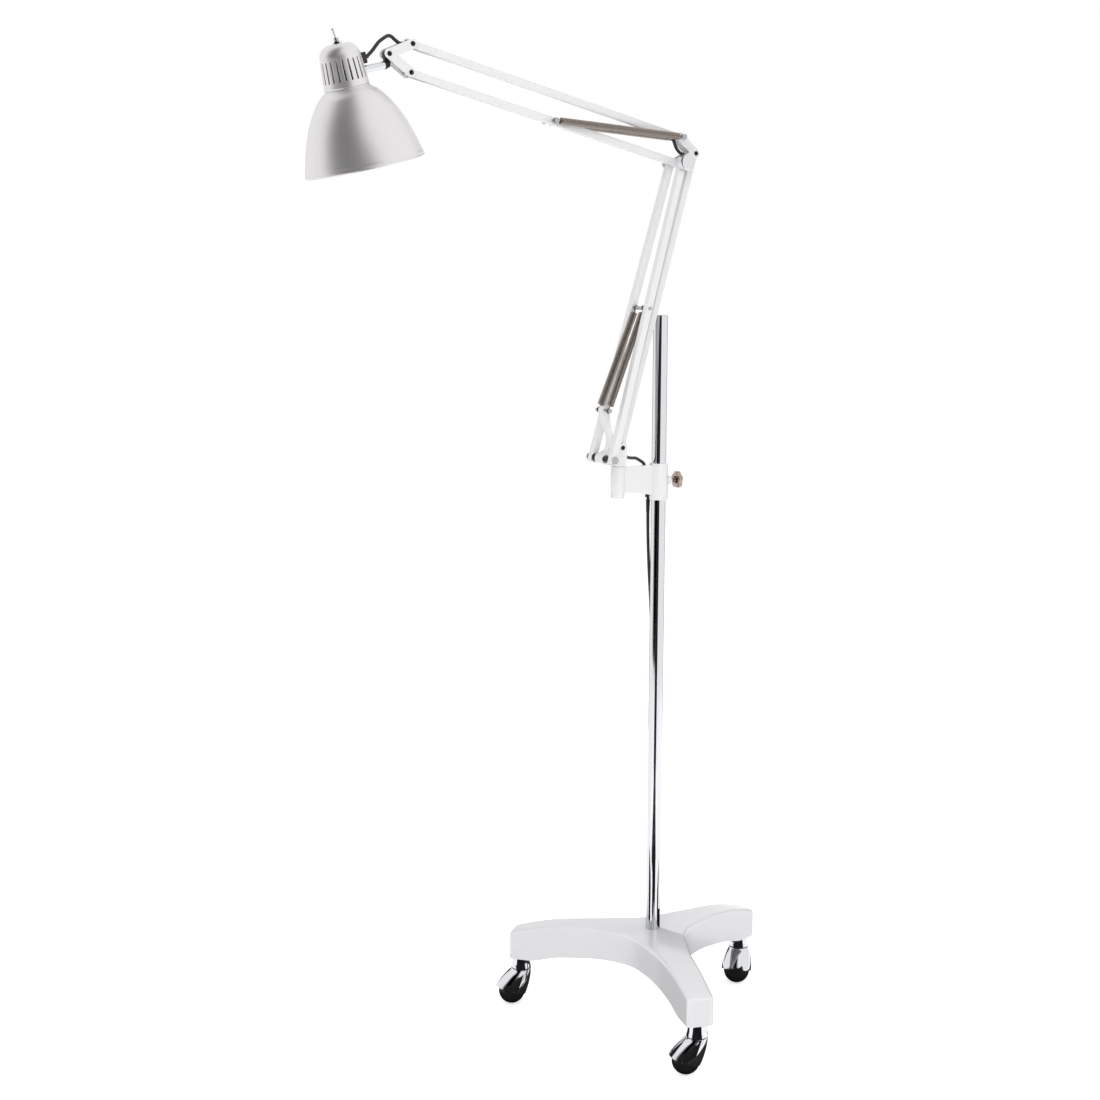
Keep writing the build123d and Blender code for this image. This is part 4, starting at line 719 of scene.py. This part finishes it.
class LAMP_OT_leads(LampOperator, bpy.types.Operator):
    """Leads held between the head, the bars and the bracket"""
    bl_idname = "lamp.leads"
    bl_label = "Leads"

    def execute(self, context):
        radius = self.sizes.cord / 2
        neck = through([in_arm(-469.8, 1661.8), in_arm(-467.2, 1665.4), in_arm(-459.2, 1673.6),
                        in_arm(-449.4, 1685.4), in_arm(-440.0, 1692.5)], 10)
        bridge = through([in_arm(-440.0, 1692.5), in_arm(-433.5, 1695.9), in_arm(-427.5, 1695.2),
                          in_arm(-420.5, 1690.3), in_arm(-413.5, 1686.4), in_arm(-405.0, 1686.2), HEAD_TOP], 10)
        self.lead("lead_to_head", neck, radius, "head", "knuckle", "lead_neck")
        self.lead("lead_over_bracket", bridge, radius, "knuckle", "head_bracket", "lead_bracket")
        bar = (ELBOW_TOP - HEAD_TOP) / np.linalg.norm(ELBOW_TOP - HEAD_TOP)
        out = ELBOW_TOP - bar * 26 * MM
        inside = HEAD_TOP + np.linspace(0, 1, 30)[:, None] * (out - HEAD_TOP)
        piece = add_mesh("lead_in_top_bar", *along_path(inside, radius, NEAR, 16), "top_bar", "cord_sheath")
        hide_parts("lead_upper")
        drop = through([out, ELBOW_TOP - bar * 15 * MM, in_arm(109.0, 1556.0), in_arm(113.4, 1546.6),
                        in_arm(121.0, 1538.8), in_arm(131.5, 1534.6), in_arm(141.5, 1532.0),
                        LINK_ELBOW + np.array([-1.2, 0, -8]) * MM], 10)
        self.lead("lead_at_elbow", drop, radius, "top_bar", "elbow", "lead_elbow")
        down = (LINK_FOOT - LINK_ELBOW) / np.linalg.norm(LINK_FOOT - LINK_ELBOW)
        link = LINK_ELBOW + np.linspace(3 * MM, np.linalg.norm(LINK_FOOT - LINK_ELBOW), 30)[:, None] * down
        piece = add_mesh("lead_in_link", *along_path(link, radius, NEAR, 16), "lower_link", "cord_sheath")
        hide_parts("lead_lower")
        clip = cord_exit()
        foot = through([LINK_FOOT, in_arm(8.5, 1034.0, -0.4), in_arm(18.5, 1026.0, -1.5),
                        in_arm(31.5, 1022.8, -5.2), in_arm(43.0, 1021.6, -9.2), in_arm(55.0, 1016.6, -13.5),
                        in_arm(67.0, 1009.6, -18.0), in_arm(76.0, 996.0, -21.8), clip + UP * 30 * MM,
                        clip + UP * 14 * MM, clip], 10)
        self.lead("lead_to_clip", foot, radius, "foot", "bracket", "lead_foot", in_arm(56.0, 1016.0, -14.0))
        return {"FINISHED"}

    def lead(self, name, path, radius, body_start, body_end, node, last=None):
        """Tube along a path in place of a packed lead; body_start, body_end and last are not used."""
        piece = add_mesh(name, *along_path(path, radius, NEAR, 16), None, "cord_sheath")
        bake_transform(piece)
        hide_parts(node)


class LAMP_OT_mains_cord(LampOperator, bpy.types.Operator):
    """Free mains cord down to the floor, its put-away coil with a tie, and its plug"""
    bl_idname = "lamp.mains_cord"
    bl_label = "Mains cord"

    ROUTE = ((-14.5, 14.5, 812.0), (-9.8, 21.5, 738.0), (-7.6, 25.5, 663.0), (-5.6, 31.0, 588.0),
             (-4.6, 35.0, 513.0), (-3.0, 41.5, 438.0), (-2.2, 47.0, 363.0), (-0.8, 55.5, 289.0),
             (-0.2, 65.5, 222.0), (1.0, 76.0, 163.0), (1.6, 88.0, 114.0), (1.2, 106.0, 73.0), (-0.6, 130.0, 40.0),
             (-3.4, 160.0, 19.0), (-6.4, 189.0, 6.0))
    TURN = math.radians(36)
    COIL = (18.0, 245.0)
    OUTER_TURN = 35.5
    PLUG_LEVEL = 6.85

    def place(self, points):
        """Points across, along the cord's way and up, in mm, as points of the frame."""
        points = np.asarray(points, dtype=float)
        cos, sin = math.cos(self.TURN), math.sin(self.TURN)
        x, y = points[:, 0], points[:, 1]
        return np.stack([x * cos + y * sin, -x * sin + y * cos, points[:, 2]], axis=1) * MM

    def coil(self):
        """Turns of the coil: radius and height step from one layer place to the next near one side."""
        order = [(35.5, 2.75), (30, 2.75), (24.5, 2.75), (24.5, 8.25), (24.5, 13.75), (30, 13.75), (30, 8.25),
                 (35.5, 13.75), (35.5, 8.25)]
        per_turn = 16
        start = math.radians(220)
        turns = len(order) - 1 + 40.0 / 360.0
        t = np.arange(0, turns * per_turn + 0.5) / per_turn
        level = np.clip(t, 0, len(order) - 1.0001)
        whole = np.floor(level).astype(int)
        part = np.clip((level - whole - 0.72) / 0.28, 0, 1)
        part = part * part * (3 - 2 * part)
        order = np.array(order, dtype=float)
        now = order[whole] + (order[np.minimum(whole + 1, len(order) - 1)] - order[whole]) * part[:, None]
        angle = start - 2 * np.pi * t
        radius = now[:, 0] / 0.981
        x = self.COIL[0] + radius * np.cos(angle)
        y = self.COIL[1] + radius * np.sin(angle)
        return np.stack([x, y, now[:, 1]], axis=1)

    def execute(self, context):
        exit_point = cord_exit()
        tail = [[self.COIL[0] - self.OUTER_TURN, self.COIL[1] + along, level]
                for along, level in ((9.0, 7.8), (22.0, 6.9), (34.0, self.PLUG_LEVEL))]
        route = np.vstack([self.place(self.ROUTE), self.place(self.coil()), self.place(tail)])
        line = self.line(np.vstack([[exit_point, exit_point - UP * 55 * MM], route]))
        cord = add_mesh("mains_cord_line", *along_path(line, self.sizes.cord / 2, self.sides(line), 12), None,
                        "cord_sheath")
        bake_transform(cord)
        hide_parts("mains_cord", "cord_coil")
        self.relief(exit_point)
        self.plug()
        self.tie()
        return {"FINISHED"}

    def line(self, points):
        """Points read from the route's spline, whose control points are the route's own."""
        data = bpy.data.curves.new("cord_route", "CURVE")
        data.dimensions = "3D"
        spline = data.splines.new("NURBS")
        spline.points.add(len(points) - 1)
        spline.points.foreach_set("co", np.hstack([points, np.ones((len(points), 1))]).ravel())
        spline.order_u = 3
        spline.use_endpoint_u = True
        spline.resolution_u = 6
        route = bpy.data.objects.new("cord_route", data)
        read = bpy.data.meshes.new_from_object(route)
        found = np.empty(len(read.vertices) * 3)
        read.vertices.foreach_get("co", found)
        bpy.data.objects.remove(route)
        bpy.data.curves.remove(data)
        bpy.data.meshes.remove(read)
        return found.reshape(-1, 3)

    def sides(self, line):
        """Direction that the section's spokes are taken from: up where the line lies flat, across where it hangs."""
        direction = np.gradient(line, axis=0)
        direction /= np.linalg.norm(direction, axis=1)[:, None]
        upright = (direction[:, 2] ** 2)[:, None]
        across = self.place([[1.0, 0.0, 0.0]]) / MM
        return upright * across + (1 - upright) * UP

    def relief(self, exit_point):
        """Tapered sleeve under the clip: its radius falls from 3.7 to 2.95 mm over 22 mm."""
        height = np.linspace(0, 22, 45)
        outer = 3.7 - 0.75 * height / 22 + 0.08 * np.sin(height / 22 * 2 * np.pi * 7)
        profile = [(2.7, 0)] + list(zip(outer, -height)) + [(2.7, -22)]
        return add_mesh("cord_strain_relief", *turned(profile, exit_point, UP, 32), "bracket", "black_plastic")

    def tie(self):
        """Strap round the coil's section: a rounded rectangle loop swept round the turns at one place."""
        angle = np.linspace(0, 2 * np.pi, 48, endpoint=False)
        half_width, half_height = 9.4, 8.9
        middle_radius, middle_height, thickness = 30.0, 8.6, 0.9
        wide = np.sign(np.cos(angle)) * np.abs(np.cos(angle)) ** 0.35
        tall = np.sign(np.sin(angle)) * np.abs(np.sin(angle)) ** 0.35
        radial = middle_radius + half_width * wide
        up = np.maximum(middle_height + half_height * tall, 0.6)
        inner_radial = middle_radius + (half_width - thickness) * wide
        inner_up = np.maximum(middle_height + (half_height - thickness) * tall, 0.15)
        turn = math.radians(110)
        out = np.array([math.cos(turn), math.sin(turn)])
        side = np.array([-out[1], out[0]])
        rows = []
        for r, u, w in ((radial, up, -4.0), (radial, up, 4.0), (inner_radial, inner_up, 4.0),
                        (inner_radial, inner_up, -4.0)):
            xy = np.array(self.COIL)[None, :] + r[:, None] * out + w * side
            rows.append(np.hstack([xy, u[:, None]]))
        points = self.place(np.stack(rows, axis=1).reshape(-1, 3))
        return add_mesh("coil_tie", points, grid_faces(48, 4, True, True), "stand", "black_plastic")

    def plug(self):
        """Flat two-pin plug: rounded sections that widen from the cord to the pin face, with grip ribs."""
        # place along the plug, half width, half height, squareness
        stations = through([(-18, 3.4, 3.4, 2.0), (-14, 3.7, 3.7, 2.0), (-6, 4.3, 4.3, 2.0), (0, 5.0, 4.9, 2.2),
                            (3, 7.5, 5.9, 3.0), (9, 9.6, 6.4, 3.6), (16, 10.8, 6.6, 4.0), (24, 11.9, 6.7, 4.5),
                            (31, 12.4, 6.8, 5.0), (33.4, 12.3, 6.7, 5.0), (34, 11.6, 6.0, 5.0)], 5)
        angle = np.linspace(0, 2 * np.pi, 64, endpoint=False)
        power = 2.0 / stations[:, 3][:, None]
        along, rib_pitch, rib_depth = stations[:, 0], 3.4, 0.03
        ribs = 1.0 - rib_depth * (np.sin(along * 2 * np.pi / rib_pitch) > 0.3) * (along > 8) * (along < 28)
        across = stations[:, 1][:, None] * ribs[:, None] * np.sign(np.cos(angle)) * np.abs(np.cos(angle)) ** power
        up = stations[:, 2][:, None] * np.sign(np.sin(angle)) * np.abs(np.sin(angle)) ** power
        x = self.COIL[0] - self.OUTER_TURN + across
        y = self.COIL[1] + 40.5 + np.broadcast_to(stations[:, 0][:, None], across.shape)
        points = self.place(np.stack([x, y, self.PLUG_LEVEL + up], axis=-1).reshape(-1, 3))
        rows = len(stations)
        faces = grid_faces(rows, 64, False, True).tolist()
        faces.append(list(range(64)))
        faces.append([(rows - 1) * 64 + i for i in reversed(range(64))])
        piece = add_mesh("two_pin_plug", points, faces, "stand", "black_plastic", sharp=55)
        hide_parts("mains_plug")
        return piece


class LAMP_OT_stage(LampOperator, bpy.types.Operator):
    """Pale floor and backdrop, soft lamps and the camera"""
    bl_idname = "lamp.stage"
    bl_label = "Stage"

    CAMERA_AZIMUTH = -126

    def execute(self, context):
        scene = context.scene
        scene.view_settings.view_transform = "Standard"
        self.world(scene)
        self.floor()
        self.lamp("key_light", (-2.6, -2.6, 3.2), (0, 0, 0.9), 3.0, 50)
        self.lamp("fill_light", (2.8, -1.6, 2.0), (0, 0, 0.9), 2.6, 26)
        self.lamp("top_light", (0.2, 0.8, 4.0), (0, 0, 0.6), 3.0, 8, (0.90, 0.94, 1.0))
        self.lamp("low_front_light", (-1.3, -1.6, 0.35), (0, 0, 0.1), 1.0, 13, (1.0, 0.97, 0.93))
        self.card("card_by_camera", self.CAMERA_AZIMUTH, 2.2, 2.2, 1.5, 0.0, 2.3)
        self.card("card_on_floor", self.CAMERA_AZIMUTH, 0.85, 2.2, 1.2, 0.001, 0.001)
        for side in CASTERS:
            self.dark_corner(side)
        self.card("card_behind_right", 22, 2.3, 2.3, 0.8, 0.0, 2.4)
        self.card("card_behind_left", 86, 2.3, 2.3, 0.8, 0.0, 2.4)
        self.camera(scene)
        return {"FINISHED"}

    def world(self, scene):
        """White where the camera looks, an even level for diffuse light, and for mirrors a bright studio
        with one soft dark gap on the left of the camera's side, the same at every height."""
        world = bpy.data.worlds.new("studio")
        world.use_nodes = True
        tree = world.node_tree
        tree.nodes.clear()
        output = add_node(tree, "ShaderNodeOutputWorld")
        path = add_node(tree, "ShaderNodeLightPath")
        seen = add_node(tree, "ShaderNodeMath", {"operation": "MAXIMUM"},
                        links={0: (path, "Is Camera Ray"), 1: (path, "Is Transmission Ray")})
        place = add_node(tree, "ShaderNodeTexCoord")
        # the gap's middle direction, level on the camera's left, and how far a ray turns away from it
        gap = math.radians(-155)
        level = add_node(tree, "ShaderNodeVectorMath", {"operation": "MULTIPLY"}, inputs={1: (1, 1, 0)},
                         links={0: (place, "Generated")})
        level = add_node(tree, "ShaderNodeVectorMath", {"operation": "NORMALIZE"}, links={0: (level, 0)})
        turn = add_node(tree, "ShaderNodeVectorMath", {"operation": "DOT_PRODUCT"},
                        inputs={1: (math.cos(gap), math.sin(gap), 0)}, links={0: (level, 0)})
        dark = add_node(tree, "ShaderNodeMapRange", {"interpolation_type": "SMOOTHSTEP"},
                        inputs={"From Min": math.cos(math.radians(50)), "From Max": math.cos(math.radians(18)),
                                "To Min": 1.0, "To Max": 0.0}, links={"Value": (turn, "Value")})
        light = add_node(tree, "ShaderNodeBackground", inputs={"Color": (1, 1, 1, 1), "Strength": 0.62})
        mirror = add_node(tree, "ShaderNodeBackground", inputs={"Strength": 1.15},
                          links={"Color": (dark, "Result")})
        plain = add_node(tree, "ShaderNodeBackground", inputs={"Color": (1, 1, 1, 1), "Strength": 1.0})
        lit = add_node(tree, "ShaderNodeMixShader",
                       links={0: (path, "Is Glossy Ray"), 1: (light, 0), 2: (mirror, 0)})
        mix = add_node(tree, "ShaderNodeMixShader", links={0: (seen, 0), 1: (lit, 0), 2: (plain, 0)})
        tree.links.new(mix.outputs[0], output.inputs["Surface"])
        scene.world = world

    def card(self, name, azimuth, near, far, width, low, high):
        """Dark card round the lamp that only mirrors see, from one distance and height to another."""
        turn = math.radians(azimuth)
        out = np.array([math.cos(turn), math.sin(turn), 0.0])
        side = np.array([-out[1], out[0], 0.0])
        corners = [out * reach + side * width * half + UP * level
                   for half, reach, level in ((-0.5, near, low), (0.5, near, low), (0.5, far, high), (-0.5, far, high))]
        self.mirror_only(name, [corner.tolist() for corner in corners])

    def dark_corner(self, side):
        """Dark floor and low curved wall that only mirrors see, round one ball on the camera's side:
        x = cx + r cos a, y = cy + r sin a, with a all round for the floor and up to 52 degrees from the
        camera's azimuth for the wall."""
        radius, height, half = 0.22, 0.2, 52
        centre = pivot(f"ball_{side}_roll") * (1, 1, 0)

        def ring(angle, level):
            """Points round the ball at some angles and a height."""
            return centre + np.stack([radius * np.cos(angle), radius * np.sin(angle), np.full_like(angle, level)],
                                     axis=1)

        floor = ring(np.linspace(0, 2 * np.pi, 48, endpoint=False), 0.0005)
        self.mirror_only("dark_floor_" + side, floor.tolist())
        foot = ring(np.radians(np.linspace(self.CAMERA_AZIMUTH - half, self.CAMERA_AZIMUTH + half, 14)), 0.001)
        count = len(foot)
        self.mirror_only("dark_wall_" + side, np.concatenate([foot, foot + UP * height]).tolist(),
                         [(i, i + 1, count + i + 1, count + i) for i in range(count - 1)])

    def mirror_only(self, name, corners, faces=None):
        """Matt black card that no camera, diffuse or shadow ray meets: one flat face unless faces are given."""
        mesh = bpy.data.meshes.new(name)
        mesh.from_pydata(corners, [], faces or [list(range(len(corners)))])
        face = bpy.data.objects.new(name, mesh)
        bpy.context.scene.collection.objects.link(face)
        if "matt_black_card" not in FINISH:
            FINISH["matt_black_card"] = finish("matt_black_card", "#1a1a1b", rough=0.9)
        mesh.materials.append(FINISH["matt_black_card"])
        face.visible_camera = False
        face.visible_diffuse = False
        face.visible_transmission = False
        face.visible_shadow = False

    def floor(self):
        """Round pale floor that turns white where the camera sees it."""
        angle = np.linspace(0, 2 * np.pi, 96, endpoint=False)
        points = np.stack([6 * np.cos(angle), 6 * np.sin(angle), np.full_like(angle, -0.0006)], axis=1)
        mesh = bpy.data.meshes.new("studio_floor")
        mesh.from_pydata(points.tolist(), [], [list(range(96))])
        floor = bpy.data.objects.new("studio_floor", mesh)
        bpy.context.scene.collection.objects.link(floor)
        material = bpy.data.materials.new("pale_paper_floor")
        material.use_nodes = True
        tree = material.node_tree
        tree.nodes.clear()
        output = add_node(tree, "ShaderNodeOutputMaterial")
        path = add_node(tree, "ShaderNodeLightPath")
        paper = add_node(tree, "ShaderNodeBsdfPrincipled",
                         inputs={"Base Color": (0.86, 0.86, 0.87, 1), "Roughness": 0.9})
        glow = add_node(tree, "ShaderNodeEmission", inputs={"Color": (1, 1, 1, 1), "Strength": 0.6})
        both = add_node(tree, "ShaderNodeAddShader", links={0: (paper, 0), 1: (glow, 0)})
        seen = add_node(tree, "ShaderNodeMath", {"operation": "MAXIMUM"},
                        links={0: (path, "Is Camera Ray"), 1: (path, "Is Glossy Ray")})
        mix = add_node(tree, "ShaderNodeMixShader", links={0: (seen, 0), 1: (paper, 0), 2: (both, 0)})
        tree.links.new(mix.outputs[0], output.inputs["Surface"])
        mesh.materials.append(material)

    def lamp(self, name, place, target, size, power, colour=(1.0, 1.0, 1.0)):
        """Square area light aimed at a point."""
        data = bpy.data.lights.new(name, "AREA")
        data.size = size
        data.energy = power
        data.color = colour
        light = bpy.data.objects.new(name, data)
        light.location = place
        light.visible_glossy = False
        light.rotation_euler = (Vector(target) - Vector(place)).to_track_quat("-Z", "Y").to_euler()
        bpy.context.scene.collection.objects.link(light)

    def camera(self, scene):
        """Camera 3.2 m from the column at chest height, looking slightly down and to the column's left."""
        turn = math.radians(36)
        distance, height = 3.2014, 1.3779
        pitch, yaw, roll = math.radians(9.26), math.radians(3.37), math.radians(0.21)
        data = bpy.data.cameras.new("lamp_camera")
        data.sensor_width = 36.0
        data.lens = 1852 / 1100 * 36.0
        camera = bpy.data.objects.new("lamp_camera", data)
        ahead = np.array([-math.sin(yaw) * math.cos(pitch), math.cos(yaw) * math.cos(pitch), -math.sin(pitch)])
        right0 = np.array([math.cos(yaw), math.sin(yaw), 0.0])
        up0 = np.cross(right0, ahead)
        right = right0 * math.cos(roll) + up0 * math.sin(roll)
        up = np.cross(right, ahead)
        spin = np.array([[math.cos(turn), math.sin(turn), 0], [-math.sin(turn), math.cos(turn), 0], [0, 0, 1]])
        matrix = np.eye(4)
        matrix[:3, 0], matrix[:3, 1], matrix[:3, 2] = spin @ right, spin @ up, spin @ -ahead
        matrix[:3, 3] = spin @ np.array([0, -distance, height])
        camera.matrix_world = Matrix(matrix.tolist())
        bpy.context.scene.collection.objects.link(camera)
        scene.camera = camera


class LAMP_PT_panel(bpy.types.Panel):
    """Lists the lamp's operators and settings"""
    bl_idname = "LAMP_PT_panel"
    bl_label = "Lamp"
    bl_space_type = "VIEW_3D"
    bl_region_type = "UI"
    bl_category = "Lamp"

    def draw(self, context):
        for operator in OPERATORS:
            self.layout.operator(operator.bl_idname)
        for group in (context.scene.lamp_sizes, context.scene.lamp_colours):
            for name in group.__annotations__:
                self.layout.prop(group, name)


OPERATORS = (LAMP_OT_finishes, LAMP_OT_column, LAMP_OT_casters, LAMP_OT_shade, LAMP_OT_springs, LAMP_OT_knobs,
             LAMP_OT_fasteners, LAMP_OT_lamp, LAMP_OT_leads, LAMP_OT_mains_cord, LAMP_OT_stage)
CLASSES = (LampSizes, LampColours) + OPERATORS + (LAMP_PT_panel,)


def register():
    """Adds the classes and their settings to Blender."""
    for cls in CLASSES:
        bpy.utils.register_class(cls)
    bpy.types.Scene.lamp_sizes = bpy.props.PointerProperty(type=LampSizes)
    bpy.types.Scene.lamp_colours = bpy.props.PointerProperty(type=LampColours)


def unregister():
    """Takes the classes and their settings out of Blender."""
    del bpy.types.Scene.lamp_colours
    del bpy.types.Scene.lamp_sizes
    for cls in reversed(CLASSES):
        bpy.utils.unregister_class(cls)


def main():
    """Makes the lamp and its stage."""
    register()
    for operator in OPERATORS:
        group, name = operator.bl_idname.split(".")
        getattr(getattr(bpy.ops, group), name)()


if __name__ == "__main__":
    main()
